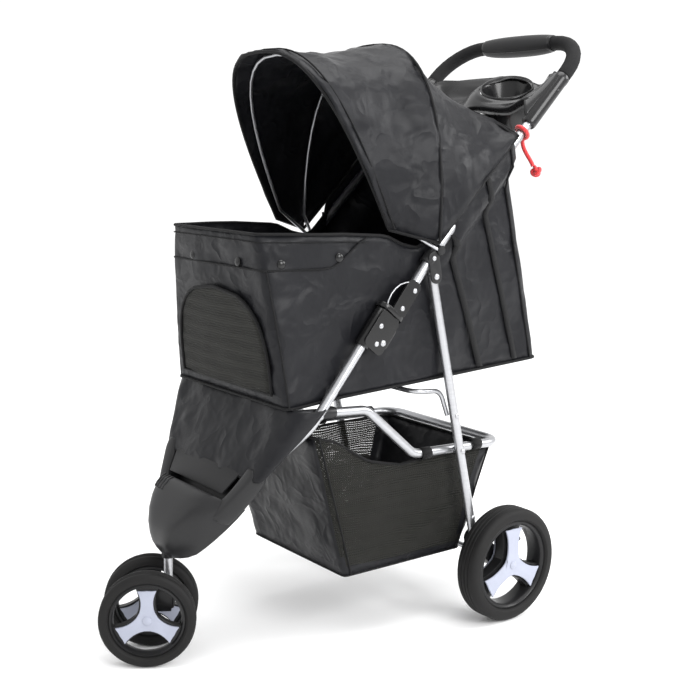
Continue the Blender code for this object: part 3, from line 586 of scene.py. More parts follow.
def finish_frame():
    for node in ("handle_tube", "basket_tube", "cross_brace", "rear_axle", "caster_stem", "front_axle",
                 "front_bow", "mid_bow"):
        soften(node, "silver", 50)
    for word, _ in SIDES:
        for node in ("front_leg", "rear_leg", "fold_pin", "leg_pin", "front_pivot_pin", "rear_pivot_pin"):
            soften(f"{node}_{word}", "silver", 50)
        soften(f"latch_lower_{word}", "shiny", 38, 0.0009)
        soften(f"latch_upper_{word}", "shiny", 38, 0.0008)
        soften(f"latch_ring_{word}", "shiny", 38, 0.0009)
        soften(f"leg_bracket_{word}", "satin", 38, 0.0006)
        soften(f"axle_bracket_{word}", "plastic", 38, 0.0012)
        soften(f"brake_pedal_{word}", "grip", 38, 0.0009)
        soften(f"foam_grip_{word}", "foam", 50, 0.0008)
    soften("caster_fork", "plastic", 38, 0.001)
    soften("foot_plate", "grip", 38, 0.0006)


LOBE = 0.0085                   # corner radius of a latch's cheek


def latch_lobe(name, side, low, high, front, thick, reach, body):
    """A rounded cheek lying along a latch: from run low to high, out to a distance in front of the tube."""
    outline = []
    for run, forward, quarter in ((low, 0, 2), (high, 0, 3), (high, front, 0), (low, front, 1)):
        for k in range(7):
            turn = pi / 2 * (quarter + k / 6)
            outline.append((run + LOBE * cos(turn), forward + LOBE * sin(turn)))
    origin = on_latch(side, 0) + Vector((side, 0, 0)) * reach
    axes = Matrix((LATCH_LINE, LATCH_FORWARD, LATCH_LINE.cross(LATCH_FORWARD))).transposed().to_4x4()
    return flat_plate(name, outline, thick, Matrix.Translation(origin) @ axes, "shiny", body,
                      "black_plastic", 0.0016)


def latch_fittings():
    """Cheeks, rivets and the wire bail of each fold latch, and the collars on the upper frame."""
    for word, side in SIDES:
        face = Vector((side, 0, 0))
        latch_lobe(f"latch_cheek_low_{word}", side, -0.012, 0.034, 0.024, 0.0042, 0.0092, "front_frame")
        latch_lobe(f"latch_cheek_top_{word}", side, 0.056, 0.101, 0.010, 0.0040, 0.0094, "upper_frame")
        for label, run, forward, body in (
                ("low", 0.018, 0.0200, "front_frame"), ("heel", -0.008, 0.010, "front_frame"),
                ("top", 0.062, 0.003, "upper_frame"), ("mid", 0.097, 0, "upper_frame")):
            place = on_latch(side, run, forward) + face * 0.0114
            dome(f"latch_rivet_{label}_{word}", place, face, 0.0040, 0.0018, "silver", body, "frame_silver")
        bail = [on_latch(side, run, forward) + face * out for run, forward, out in (
            (0.0475, 0.030, 0.010), (0.056, 0.034, 0.011), (0.066, 0.0355, 0.011), (0.077, 0.034, 0.0105),
            (0.088, 0.0295, 0.010), (0.097, 0.0225, 0.010), (0.104, 0.0135, 0.010), (0.107, 0.006, 0.0095))]
        tube_piece(f"latch_bail_{word}", bail, 0.0012, "silver", "upper_frame", "frame_silver", sides=8)
        collar = [(0.0108, -0.009), (0.0114, -0.006), (0.0114, 0.006), (0.0108, 0.009), (0.0078, 0.009),
                  (0.0078, -0.009)]
        middle = LEG_PIVOT + Vector((side * FRAME_X, -0.0075, 0.0268))
        turned(f"leg_collar_{word}", collar, middle, GRIP_LINE, "satin", "upper_frame", "black_plastic")
        bolt = LEG_PIVOT + Vector((side * (FRAME_X + TUBE + 0.0034), -0.006, 0.029))
        dome(f"leg_bolt_{word}", bolt, face, 0.0040, 0.0018, "silver", "upper_frame", "frame_silver")


def leg_fittings():
    """Rivet heads and plastic plugs along the rear legs and the basket tube."""
    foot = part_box("rear_leg_left")[0].z
    slope = (0.170 - LEG_PIVOT.y) / (0.146 - LEG_PIVOT.z)
    for word, side in SIDES:
        for k, height in enumerate((0.352, foot + 0.030)):
            y = LEG_PIVOT.y + (height - LEG_PIVOT.z) * slope
            place = Vector((side * (FRAME_X + TUBE), y, height))
            dome(f"leg_rivet_{word}_{k}", place, (side, 0, 0), 0.0042, 0.0016, "silver", "rear_frame",
                 "frame_silver")
        inner = Vector((side * (BASKET_X - TUBE), 0.1350864, 0.291))
        dome(f"basket_rivet_{word}", inner, (-side, 0, 0), 0.0042, 0.0016, "silver", "basket_frame",
             "frame_silver")
        stub = Vector((side * BASKET_X, 0, 0)) + FRONT_PIVOT
        line = Vector((0, 1, -0.0655)).normalized()
        sleeve = [(0.0090, -0.013), (0.0098, -0.010), (0.0098, 0.010), (0.0090, 0.013), (0.0077, 0.013),
                  (0.0077, -0.013)]
        turned(f"basket_collar_{word}", sleeve, stub + line * 0.030, line, "satin", "basket_frame",
               "black_plastic")


# ---------------------------------------------------------------- wheels


def tread_profile(rim, radius, width):
    """A tyre's section: rounded shoulders, three shallow grooves in the tread and a bead at the rim."""
    edge = width / 2
    shoulder = min(0.010, width * 0.26)
    points = [(rim, edge - 0.005), (rim + 0.0015, edge - 0.002), (rim + 0.004, edge),
              (radius - shoulder, edge)]
    points += [(radius - shoulder + shoulder * sin(a), edge - shoulder + shoulder * cos(a))
               for a in (0.5, 1.0, 1.35)]
    flat = edge - shoulder
    for groove in (0.62, 0.0, -0.62):
        middle = groove * flat
        points += [(radius, middle + 0.0016), (radius - 0.0013, middle + 0.0008),
                   (radius - 0.0013, middle - 0.0008), (radius, middle - 0.0016)]
    points += [(radius - shoulder + shoulder * sin(a), shoulder - edge - shoulder * cos(a))
               for a in (1.35, 1.0, 0.5)]
    return points + [(radius - shoulder, -edge), (rim + 0.004, -edge), (rim + 0.0015, 0.002 - edge),
                     (rim, 0.005 - edge)]


def spoke_outline(hub, waist, flare, reach, first, steps=6):
    """Three arms about a hub: narrow at the waist and flared where they meet the rim."""
    outline = []
    for arm in range(3):
        middle = first + arm * 2 * pi / 3
        sides = []
        for step in range(steps + 1):
            share = step / steps
            radius = hub + (reach - hub) * share
            half = waist + (flare - waist) * share ** 2.6 + 0.004 * (1 - share) ** 3
            sides.append((radius, half))
        for radius, half in sides:
            outline.append((radius, -half, middle))
        tip = atan2(sides[-1][1], sides[-1][0])
        for k in (-0.5, 0, 0.5):
            outline.append((reach * cos(k * tip), reach * sin(k * tip), middle))
        for radius, half in reversed(sides):
            outline.append((radius, half, middle))
    return [(r * cos(m) - h * sin(m), r * sin(m) + h * cos(m)) for r, h, m in outline]


def wheel_piece(name, body, centre, axis, radius, width):
    """One wheel: grooved tyre, dished rim with black spokes, hub cap and a pale cover on each face."""
    rim = radius * 0.78
    inner = radius * 0.70
    edge = width / 2
    axis = Vector(axis).normalized()
    tyre = turned(f"{name}_tread", tread_profile(rim, radius, width), centre, axis, "tyre", body, "rubber",
                  steps=96)
    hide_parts(f"{name}_tyre")
    lip = edge - 0.0045
    ring = [(rim - 0.0004, lip), (rim - 0.0035, lip + 0.0012), (inner + 0.0015, lip - 0.001),
            (inner, lip - 0.004), (inner - 0.0005, 0), (inner, 0.004 - lip), (inner + 0.0015, 0.001 - lip),
            (rim - 0.0035, -lip - 0.0012), (rim - 0.0004, -lip)]
    barrel = turned(f"{name}_barrel", ring, centre, axis, "plastic", body, "black_plastic", steps=96)
    hub_profile = [(0.0062, lip), (0.0115, lip - 0.001), (0.0125, lip - 0.004), (0.0125, 0.004 - lip),
                   (0.0115, 0.001 - lip), (0.0062, -lip)]
    turned(f"{name}_hub", hub_profile, centre, axis, "plastic", body, "black_plastic")
    turn = Vector((0, 0, 1)).rotation_difference(axis).to_matrix().to_4x4()
    upright = turn.inverted() @ Vector((0, 0, 1))
    first = atan2(upright.y, upright.x)
    place = Matrix.Translation(centre) @ turn
    web = spoke_outline(0.010, radius * 0.145, radius * 0.245, inner + 0.001, first)
    flat_plate(f"{name}_spokes", web, width * 0.42, place, "plastic", body, "black_plastic", 0.0015)
    arms = spoke_outline(0.012, radius * 0.105, radius * 0.195, inner - 0.0045, first)
    for word, face in (("outer", 1), ("inner", -1)):
        shift = Matrix.Translation((0, 0, face * (edge - 0.0062)))
        cover = flat_plate(f"{name}_cover_{word}", arms, 0.0034, place @ shift, "cover", body,
                           "light_plastic", 0.0012)
        cap = [(0.0001, 0.0035), (0.0045, 0.0032), (0.0068, 0.002), (0.0075, 0), (0.0001, 0)]
        turned(f"{name}_cap_{word}", cap, centre + axis * face * (edge - 0.0056), axis * face, "cover", body,
               "light_plastic", steps=24)
        if word == "outer":
            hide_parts(f"{name}_rim")
            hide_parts(f"{name}_cover")


def make_wheels():
    for word, side in SIDES:
        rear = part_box(f"rear_wheel_{word}_tyre")
        front = JOINTS[f"front_wheel_spin_{word}"]
        wheel_piece(f"rear_wheel_{word}", f"rear_wheel_{word}", (rear[0] + rear[1]) / 2, (side, 0, 0),
                    (rear[1].z - rear[0].z) / 2, rear[1].x - rear[0].x)
        wheel_piece(f"front_wheel_{word}", f"front_wheel_{word}", Vector(front["pos_m"]),
                    Vector(front["axis"]) * side, Vector(front["pos_m"]).z, 0.028)


# ---------------------------------------------------------------- nose, tray and grips


NOSE_HALF = [(-0.004, 0.012), (0.0, 0.021), (0.006, 0.031), (0.016, 0.042), (0.030, 0.055), (0.050, 0.071),
             (0.070, 0.085), (0.088, 0.096), (0.100, 0.102), (0.106, 0.105)]
NOSE_FRONT = [(-0.004, 0.014), (0.0, 0.022), (0.006, 0.030), (0.016, 0.037), (0.030, 0.043), (0.050, 0.046),
              (0.070, 0.045), (0.088, 0.041), (0.100, 0.035), (0.106, 0.028)]
NOSE_BACK = [(-0.004, 0.000), (0.0, -0.006), (0.006, -0.011), (0.016, -0.0155), (0.106, -0.0165)]


def nose_place():
    """Local X across, local Y up the nose's slope and local Z forwards, with its tip at the origin."""
    return Matrix.Translation((0, -0.308, 0.160)) @ Matrix.Rotation(radians(60), 4, "X")


def nose_surface(share, up):
    """Depth of the nose's front at a share of its half width: a full face with a lower band round it."""
    back = table(NOSE_BACK, up)
    front = table(NOSE_FRONT, up)
    band = 0.0045 * smooth(abs(share), 0.70, 0.80) * smooth(up, 0.004, 0.016)
    return back + (front - back - band) * (1 - abs(share) ** 5) ** 0.45


def nose_bib():
    """The rounded shield under the feet, the arms that hold the legs, and the caster's socket."""
    place = nose_place()
    rows = []
    count = 30
    for up, _ in NOSE_HALF[:3] + [(0.010, 0)] + NOSE_HALF[3:]:
        half = table(NOSE_HALF, up)
        shares = [sin(pi / 2 * (2 * i / count - 1)) for i in range(count + 1)]
        row = [place @ Vector((half * share, up, nose_surface(share, up))) for share in shares]
        back = table(NOSE_BACK, up)
        row += [place @ Vector((half * share, up, back - 0.0005)) for share in reversed(shares[2:-2:3])]
        rows.append(row)
    shell = loft("nose_bib", rows, "satin", "front_frame", "grey_plastic", wrap=True, caps=True, sharp=50)
    round_edges(shell, 0.0018)
    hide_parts("nose_shell")
    tray_back = [(-0.098, 0.096), (0.098, 0.096), (0.106, 0.152), (-0.106, 0.152)]
    flat_plate("nose_back", tray_back, 0.003, place @ Matrix.Translation((0, 0, -0.0125)), "satin",
               "front_frame", "grey_plastic")
    for word, side in SIDES:
        arm_rows = []
        for up, low, high in ((0.070, 0.052, 0.088), (0.082, 0.062, 0.095), (0.098, 0.074, 0.104),
                              (0.108, 0.081, 0.109), (0.118, 0.086, 0.114),
                              (0.134, 0.093, 0.123), (0.150, 0.099, 0.130), (0.160, 0.104, 0.127),
                              (0.165, 0.108, 0.122)):
            ring = []
            for k in range(14):
                turn = 2 * pi * k / 14
                wide, deep = cos(turn), sin(turn)
                x = (low + high) / 2 + (high - low) / 2 * (1 if wide >= 0 else -1) * abs(wide) ** 0.6
                z = 0.0165 + 0.0015 * smooth(up, 0.130, 0.108)
                z *= (1 if deep >= 0 else -1) * abs(deep) ** 0.6
                ring.append(place @ Vector((side * x, up, z)))
            arm_rows.append(ring)
        arm = loft(f"nose_arm_{word}", arm_rows, "satin", "front_frame", "grey_plastic", wrap=True,
                   caps=True,
                   sharp=50)
        subdivide(arm)
    for k in range(7):
        across = -0.036 - 0.009 * k
        rib = []
        for up in (0.082, 0.090, 0.098, 0.103, 0.106):
            half = table(NOSE_HALF, up)
            share = (across - 0.006 * (up - 0.082) / 0.024) / half
            rib.append(place @ Vector((share * half, up, nose_surface(share, up) + 0.0003)))
        tube_piece(f"nose_rib_{k}", rib, 0.0014, "satin", "front_frame", "grey_plastic", sides=8)
    socket = [(0.0074, 0.156), (0.0096, 0.156), (0.0100, 0.158), (0.0100, 0.180), (0.0074, 0.180)]
    turned("caster_socket", socket, Vector((0, -0.313, 0)), (0, 0, 1), "plastic", "front_frame",
           "black_plastic")


TRAY_HALF = 0.149
TRAY_SLOPE = radians(30)
TRAY_MIDDLE = Vector((0, 0.312, 0.868))
CUP_MIDDLE = Vector((0.060, 0.317))
CUP_RADIUS = 0.0425
CUP_LEAN = (-0.27, 0.39)


def in_tray(x, y):
    """Whether a point of the tray's own plane lies inside its outline."""
    side = abs(x) / TRAY_HALF
    if side > 1:
        return False
    front = -0.062 + 0.026 * side ** 2.2 + 0.006 * (1 - side) ** 2
    return front <= y <= 0.052 - 0.012 * side ** 2


def tray_height(x, y, cup):
    side = abs(x) / TRAY_HALF
    dish = 0.013 * smooth(abs(x + 0.074), 0.054, 0.042) * smooth(abs(y + 0.004), 0.036, 0.024)
    rim = 0.0035 * smooth((Vector((x, y)) - cup).length, 0.056, 0.044)
    saddle = 0.010 * smooth(side, 0.72, 1.0)
    back = 0.006 * smooth(y, 0.030, 0.048)
    away = Vector((x, y)) - cup
    lean = CUP_LEAN[0] * away.x + (CUP_LEAN[1] - tan(TRAY_SLOPE)) * away.y
    lean *= smooth(away.length, 0.085, 0.046)
    return 0.004 + rim + saddle + back + lean - dish


def tray_panel(place, cup):
    """The tray's top: rings from the cup's rim out to the outline, then a turned-down edge."""
    rows = []
    around, out = 96, 18
    for i in range(around):
        turn = 2 * pi * i / around
        ray = Vector((cos(turn), sin(turn)))
        reach = CUP_RADIUS
        while in_tray(*(cup + ray * (reach + 0.0005))):
            reach += 0.0005
        row = []
        for j in range(out + 1):
            x, y = cup + ray * (CUP_RADIUS + (reach - CUP_RADIUS) * j / out)
            row.append(place @ Vector((x, y, tray_height(x, y, cup))))
        edge = Vector((x, y, tray_height(x, y, cup)))
        outward = Vector((ray.x, ray.y, 0))
        for move, drop in ((0.0020, 0.0006), (0.0034, 0.0024), (0.0038, 0.0060), (0.0030, 0.0140)):
            row.append(place @ (edge + outward * move - Vector((0, 0, drop))))
        rows.append(row)
    rows.append(rows[0])
    panel = loft("tray_panel", rows, "gloss", "upper_frame", "gloss_plastic", sharp=60)
    work = bmesh.new()
    work.from_mesh(panel.data)
    bmesh.ops.remove_doubles(work, verts=work.verts, dist=0.00005)
    work.to_mesh(panel.data)
    work.free()
    thicken(panel, 0.0028, -1)
    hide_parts("cup_tray")


def cup_well():
    """The cup holder: a deep well with a rolled rim that follows the tray's slope."""
    rim_z = TRAY_MIDDLE.z + (CUP_MIDDLE.y - TRAY_MIDDLE.y) * tan(TRAY_SLOPE)
    profile = [(0.0428, 0.0120), (0.0440, 0.0125), (0.0452, 0.0115), (0.0452, 0.009), (0.0430, 0.004),
               (0.0412, -0.030), (0.0396, -0.060), (0.0360, -0.0635), (0.0001, -0.0635), (0.0001, -0.0610),
               (0.0350, -0.0610), (0.0376, -0.056), (0.0394, -0.030), (0.0410, 0.004)]
    cup = turned("cup_well", profile, Vector((*CUP_MIDDLE, rim_z)), (0, 0, 1), "gloss", "upper_frame",
                 "gloss_plastic", steps=72, sharp=60)
    work = bmesh.new()
    work.from_mesh(cup.data)
    for vertex in work.verts:
        share = smooth(vertex.co.z, rim_z - 0.030, rim_z + 0.002)
        away = vertex.co.xy - CUP_MIDDLE
        vertex.co.z += (away.x * CUP_LEAN[0] + away.y * CUP_LEAN[1]) * share
    work.to_mesh(cup.data)
    work.free()


def tray_surface():
    """The handle tray: one moulding with a cup well, a shallow dish and a clamp round each handle tube."""
    place = Matrix.Translation(TRAY_MIDDLE) @ Matrix.Rotation(TRAY_SLOPE, 4, "X")
    rim = Vector((*CUP_MIDDLE, TRAY_MIDDLE.z + (CUP_MIDDLE.y - TRAY_MIDDLE.y) * tan(TRAY_SLOPE)))
    cup = (place.inverted() @ rim).xy
    tray_panel(place, cup)
    cup_well()
    top = 0.4925 - 0.075 - 0.0126
    for word, side in SIDES:
        sleeve = [(0.0080, 0.0), (0.0112, 0.0), (0.0124, 0.003), (0.0124, 0.100), (0.0130, 0.102),
                  (0.0130, 0.110), (0.0120, 0.1115), (0.0080, 0.1115)]
        turned(f"tray_clamp_{word}", sleeve, on_handle(side, top - 0.112), GRIP_LINE, "gloss",
               "upper_frame", "gloss_plastic")
        rows = []
        for k in range(13):
            share = k / 12
            core = on_handle(side, top - 0.110 + 0.104 * share)
            y = -0.036 + 0.074 * share
            x = side * (TRAY_HALF - 0.006)
            inner = place @ Vector((x, y, tray_height(x, y, cup) - 0.0015))
            ring = []
            for step in range(9):
                blend = step / 8
                point = core.lerp(inner, blend)
                lift = cos(pi / 2 * blend) * 0.0105 + 0.004 * sin(pi * blend)
                ring.append(point + Vector((0, -0.55, 0.83)) * lift)
            rows.append(ring)
        bridge = loft(f"tray_bridge_{word}", rows, "gloss", "upper_frame", "gloss_plastic", sharp=60)
        thicken(bridge, 0.0035, -1)
        screw = on_handle(side, top - 0.034) + Vector((side * 0.0124, 0, 0))
        dome(f"tray_screw_{word}", screw, (side, 0, 0), 0.0034, 0.0010, "plastic", "upper_frame",
             "black_plastic")


def grip_details():
    """The middle grip: two half shells that swell in the middle, their joint and end rings."""
    low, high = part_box("centre_grip")
    centre = (low + high) / 2
    half = (high.x - low.x) / 2
    rows = []
    for step in range(33):
        along = 2 * step / 32 - 1
        swell = (1 - abs(along) ** 2.4) ** 0.7 if abs(along) < 1 else 0.0
        top = 0.0132 + 0.0040 * swell
        under = 0.0132 + 0.0070 * swell
        ring = []
        for k in range(28):
            turn = 2 * pi * k / 28
            across, rise = cos(turn), sin(turn)
            reach = top if rise > 0 else under
            flat = 0.0132 + 0.0048 * swell
            lean = Vector((0, flat * across, reach * (1 if rise > 0 else -1) * abs(rise) ** 0.85))
            ring.append(centre + Vector((along * half, 0, 0)) + Matrix.Rotation(radians(38), 3, "X") @ lean)
        rows.append(ring)
    shell = loft("grip_shell", rows, "grip", "upper_frame", "grey_plastic", wrap=True, caps=True, sharp=50)
    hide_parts("centre_grip")
    for k, turn in (("front", 14), ("rear", 0)):
        seam = [row[turn] for row in rows[1:-1]]
        tube_piece(f"grip_seam_{k}", seam, 0.0007, "gloss", "upper_frame", "gloss_plastic", sides=8)
    for word, side in SIDES:
        ring = [(0.0080, -0.005), (0.0138, -0.005), (0.0146, -0.003), (0.0146, 0.003), (0.0138, 0.005),
                (0.0080, 0.005)]
        turned(f"grip_end_{word}", ring, centre + Vector((side * (half - 0.006), 0, 0)), (side, 0, 0),
               "gloss",
               "upper_frame", "gloss_plastic")


# ---------------------------------------------------------------- cabin


CABIN_RIM = [(-0.235, 0.652), (-0.10, 0.650), (-0.018, 0.645), (0.020, 0.629), (0.052, 0.624),
             (0.226, 0.796)]


def cabin_point(x_share, along, up):
    """A point of the tub: along runs from front to rear, up from floor to rim, x_share across."""
    front = -0.203 - 0.030 * up
    rear = 0.318 - 0.092 * up
    y = front + along * (rear - front)
    foot = 0.399 + along * 0.026
    top = table(CABIN_RIM, front + along * (0.228 - front))
    if along > 0.97:
        top += 0.030 * (1 - abs(x_share) ** 4)
    z = foot + (top - foot) * up
    front_half = 0.158 - 0.036 * up ** 1.3
    half = front_half + (0.1485 - front_half) * smooth(along, 0.0, 0.22)
    below = (handle_height(y) - z) * cos(HANDLE_SLOPE)
    over = smooth(y, 0.084, 0.112) * smooth(below, 0.046, 0.014)
    half += (0.1735 - half) * over
    return Vector((x_share * half, y, z))


def cabin_ring():
    """Stations round half of the tub's plan, from the middle of the front to the middle of the rear."""
    ring = [(0.94 * i / 9, 0.0) for i in range(10)]
    ring += [(0.975, 0.006), (0.993, 0.018), (1.0, 0.036)]
    ring += [(1.0, 0.036 + 0.944 * i / 30) for i in range(1, 31)]
    ring += [(0.985, 0.993), (0.955, 1.0)]
    return ring + [(0.955 * (1 - i / 8), 1.0) for i in range(1, 9)]


def fold_flat(obj):
    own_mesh(obj)


def cabin_fabric(sizes):
    half = cabin_ring()
    ring = half + [(-x, along) for x, along in reversed(half[1:-1])]
    levels = 22
    rows = [[cabin_point(x, along, level / levels) for x, along in ring] for level in range(levels + 1)]
    tub = loft("cabin_tub", rows, "nylon", "front_frame", "nylon", wrap=True, sharp=0)
    work = bmesh.new()
    work.from_mesh(tub.data)
    work.verts.ensure_lookup_table()
    work.faces.new([work.verts[i] for i in reversed(range(len(ring)))])
    bmesh.ops.recalc_face_normals(work, faces=work.faces)
    work.to_mesh(tub.data)
    work.free()

    def hold(point):
        near_rim = smooth(table(CABIN_RIM, point.y) - point.z, 0.0, 0.03)
        near_floor = smooth(point.z - 0.405, 0.0, 0.03)
        side = 0.55 if abs(point.x) > 0.14 else 1.0
        return near_rim * near_floor * side

    crumple(tub, 0.060, sizes.crease, 0.5, hold)
    crumple(tub, 0.022, sizes.crease * 0.4, -0.4, hold)
    thicken(tub, sizes.cloth, -1)
    fold_flat(settle(tub))
    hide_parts("cabin_body")
    return ring


def ring_path(ring, up, lift=0.0):
    """A closed path round the tub at a height share, moved out from its middle by lift."""
    path = []
    for x, along in ring:
        point = cabin_point(x, along, up)
        out = Vector((point.x, (along - 0.5) * 0.55, 0)).normalized()
        if along <= 0.001:
            out = Vector((0, -1, 0))
        elif along < 0.98:
            out = Vector((1 if x > 0 else -1, 0, 0))
        path.append(point + out * lift)
    return path


def soft_tube(name, path, radius, finish, body, closed=False, flatten=None):
    """Piping that can fold with the cloth it edges: a tube turned into a mesh, then squashed."""
    obj = tube_piece(name, path, radius, finish, None, None, closed=closed, sides=8)
    graph = bpy.context.evaluated_depsgraph_get()
    bpy.context.view_layer.update()
    mesh = bpy.data.meshes.new_from_object(obj.evaluated_get(graph))
    bpy.data.objects.remove(obj, do_unlink=True)
    made = bpy.data.objects.new(name, mesh)
    bpy.context.scene.collection.objects.link(made)
    if not mesh.materials:
        mesh.materials.append(finish_named(finish))
    mesh.shade_smooth()
    if body:
        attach(made, body)
    if flatten:
        fold_flat(made)
    return made


FLAP_REACH = 0.40               # how far along the side the front flap comes


def cabin_trim(sizes, ring):
    """Piping along the rim and floor, the flap's hem, press studs, straps and zips."""
    floor = (0, 0, 0.400)
    soft_tube("cabin_rim_piping", ring_path(ring, 1.0), sizes.piping, "tape", "front_frame", True,
              floor)
    soft_tube("cabin_floor_piping", ring_path(ring, 0.004, 0.001), sizes.piping, "tape", "front_frame",
              True, floor)

    near = [entry for entry in ring if entry[0] > 0.0001 or entry[1] < 0.001 and entry[0] >= 0]
    far = [(-x, along) for x, along in near]
    hem = [entry for entry in [*reversed(far)][:-1] + near if entry[1] < FLAP_REACH]
    path = []
    for x, along in hem:
        flap = 0.052 * smooth(along, 0.42, 0.20)
        up = 1 - flap / 0.254
        path += ring_path([(x, along)], up, 0.0022)
    soft_tube("flap_hem", path, 0.0016, "tape", "front_frame", False, floor)
    upper = []
    for x, along in hem:
        upper += ring_path([(x, along)], 0.955, 0.0020)
    soft_tube("flap_stitching", upper, 0.0009, "tape", "front_frame", False, floor)

    studs = [(0.50, 0.0), (-0.50, 0.0), (1.0, 0.06), (-1.0, 0.06), (1.0, 0.26), (-1.0, 0.26)]
    for k, (x, along) in enumerate(studs):
        place = ring_path([(x, along)], 0.83 if along < 0.2 else 0.86, 0.0020)[0]
        out = Vector((0, -1, 0.1)) if along == 0 else Vector((1 if x > 0 else -1, -0.1, 0.05))
        stud = dome(f"press_stud_{k}", place, out.normalized(), 0.0070, 0.0030, "shiny", "front_frame",
                    "gloss_plastic")
        fold_flat(stud)

    for word, side in SIDES:
        corner = [cabin_point(side, 0.972, level / 20) + Vector((side * 0.0016, 0, 0))
                  for level in range(21)]
        soft_tube(f"rear_corner_piping_{word}", corner, 0.0018, "tape", "front_frame", False, floor)
        fore_corner = [cabin_point(side * 0.985, 0.010, level / 20) + Vector((side * 0.001, -0.001, 0))
                       for level in range(17)]
        soft_tube(f"front_corner_seam_{word}", fore_corner, 0.0013, "tape", "front_frame", False,
                  floor)
        for label, along, low, high, width in (("strap", 0.745, 0.02, 0.985, 0.013),
                                               ("zip", 0.90, 0.02, 0.985, 0.011)):
            route = [cabin_point(side, along - 0.035 * (level / 24), low + (high - low) * level / 24)
                     + Vector((side * 0.0030, 0, 0)) for level in range(25)]
            band = strip(f"{label}_{word}", route, [(0, 1, 0)] * len(route), width, "tape", "front_frame",
                         "nylon", 0.0014)
            fold_flat(settle(band))


def window():
    """The arched net window in the front face, with bound edges."""
    def face(x, z):
        up = (z - 0.399) / 0.253
        return Vector((x, -0.203 - 0.030 * up - 0.0034 - 0.004 * (1 - (x / 0.13) ** 2), z))

    def half_width(share):
        return 0.126 * (1 - share ** 3.2) ** (1 / 2.6)

    rows = []
    for j in range(21):
        share = j / 20
        z = 0.417 + 0.148 * share
        half = max(half_width(share), 0.004)
        rows.append([face(half * (2 * i / 16 - 1), z) for i in range(17)])
    net = loft("window_net", rows, "window", "front_frame", "nylon", sharp=0)
    crumple(net, 0.05, 0.0016, 0.2)
    thicken(net, 0.0006, 0)
    fold_flat(settle(net))
    left = [row[-1] for row in rows]
    right = [row[0] for row in reversed(rows)]
    border = [point + Vector((0, -0.0012, 0)) for point in left + right]
    soft_tube("window_binding", border, 0.0026, "tape", "front_frame", True, (0, 0, 0.400))


def floor_pad():
    """The pad on the floor board: a crowned cushion, inflated, then sewn across into channels."""
    low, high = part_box("floor_board")
    width = high.x - low.x - 0.030
    length = high.y - low.y - 0.030
    lean = atan2(0.027, 0.523)
    place = Matrix.Translation((0, (low.y + high.y) / 2, (low.z + high.z) / 2 + 0.016))
    place = place @ Matrix.Rotation(lean, 4, "X")
    across, along = 22, 34
    points = []
    faces = []
    for face in (1, -1):
        for j in range(along + 1):
            for i in range(across + 1):
                u, v = 2 * i / across - 1, 2 * j / along - 1
                crown = 0.010 * (1 - abs(u) ** 6) ** 0.5 * (1 - abs(v) ** 6) ** 0.5
                points.append(place @ Vector((u * width / 2, v * length / 2, face * crown)))
    stride = (across + 1) * (along + 1)
    for face in (0, 1):
        for j in range(along):
            for i in range(across):
                a = face * stride + j * (across + 1) + i
                faces.append((a, a + 1, a + across + 2, a + across + 1))
    pad = mesh_piece("floor_pad", points, faces, "lining", "front_frame", "nylon", sharp=0)
    work = bmesh.new()
    work.from_mesh(pad.data)
    bmesh.ops.remove_doubles(work, verts=work.verts, dist=0.0004)
    bmesh.ops.recalc_face_normals(work, faces=work.faces)
    work.to_mesh(pad.data)
    work.free()
    inflate(pad, 3.0, 0.007)
    work = bmesh.new()
    work.from_mesh(pad.data)
    for vertex in work.verts:
        local = place.inverted() @ vertex.co
        groove = 0.0
        for seam in (-0.30, -0.10, 0.10, 0.30):
            groove = max(groove, smooth(abs(local.y / length - seam), 0.022, 0.0))
        local.z *= 1 - 0.55 * groove
        vertex.co = place @ local
    work.to_mesh(pad.data)
    work.free()
    pad.data.shade_smooth()
    subdivide(pad)
    fold_flat(settle(pad))
    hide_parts("floor_board")


def inflate(obj, pressure, most):
    """Blows a closed cushion up by cloth simulation, then keeps each point within most of its start."""
    start = [vertex.co.copy() for vertex in obj.data.vertices]
    cloth = obj.modifiers.new("air", "CLOTH")
    cloth.settings.use_pressure = True
    cloth.settings.uniform_pressure_force = pressure
    cloth.settings.effector_weights.gravity = 0
    cloth.settings.quality = 6
    cloth.settings.tension_stiffness = 30
    scene = bpy.context.scene
    for step in range(1, 21):
        scene.frame_set(step)
    graph = bpy.context.evaluated_depsgraph_get()
    blown = [vertex.co.copy() for vertex in obj.evaluated_get(graph).data.vertices]
    obj.modifiers.remove(cloth)
    scene.frame_set(1)
    for vertex, first, last in zip(obj.data.vertices, start, blown):
        move = last - first
        if move.length > most:
            move = move.normalized() * most
        vertex.co = first + move


# ---------------------------------------------------------------- canopy


FRONT_ARCH = ((-0.015, 0.655), 0.151, (-0.150, 0.917), 2.8)
MID_ARCH = ((0.062, 0.634), 0.1790, (0.070, 0.938), 2.6)
REAR_ARCH = ((0.225, 0.797), 0.1775, (0.258, 0.846), 1.15)


def canopy_rows(first, last, steps, sag):
    """Arches between two hoops, drawn in a little between them as tight cloth is."""
    start = arch(first[0], first[1], first[2], first[3])
    end = arch(last[0], last[1], last[2], last[3])
    centre = Vector((0, 0.07, 0.66))
    rows = []
    for step in range(steps + 1):
        share = step / steps
        row = []
        for k, (a, b) in enumerate(zip(start, end)):
            point = a.lerp(b, share)
            up = sin(pi * k / (len(start) - 1))
            row.append(point + (centre - point).normalized() * sag * sin(pi * share) * up)
        rows.append(row)
    return rows


REAR_SEAM = Vector((0, 0.250, 0.86))
MID_SEAM = Vector((0, 0.066, 0.80))
BRIM_SEAM = Vector((0, -0.120, 0.80))


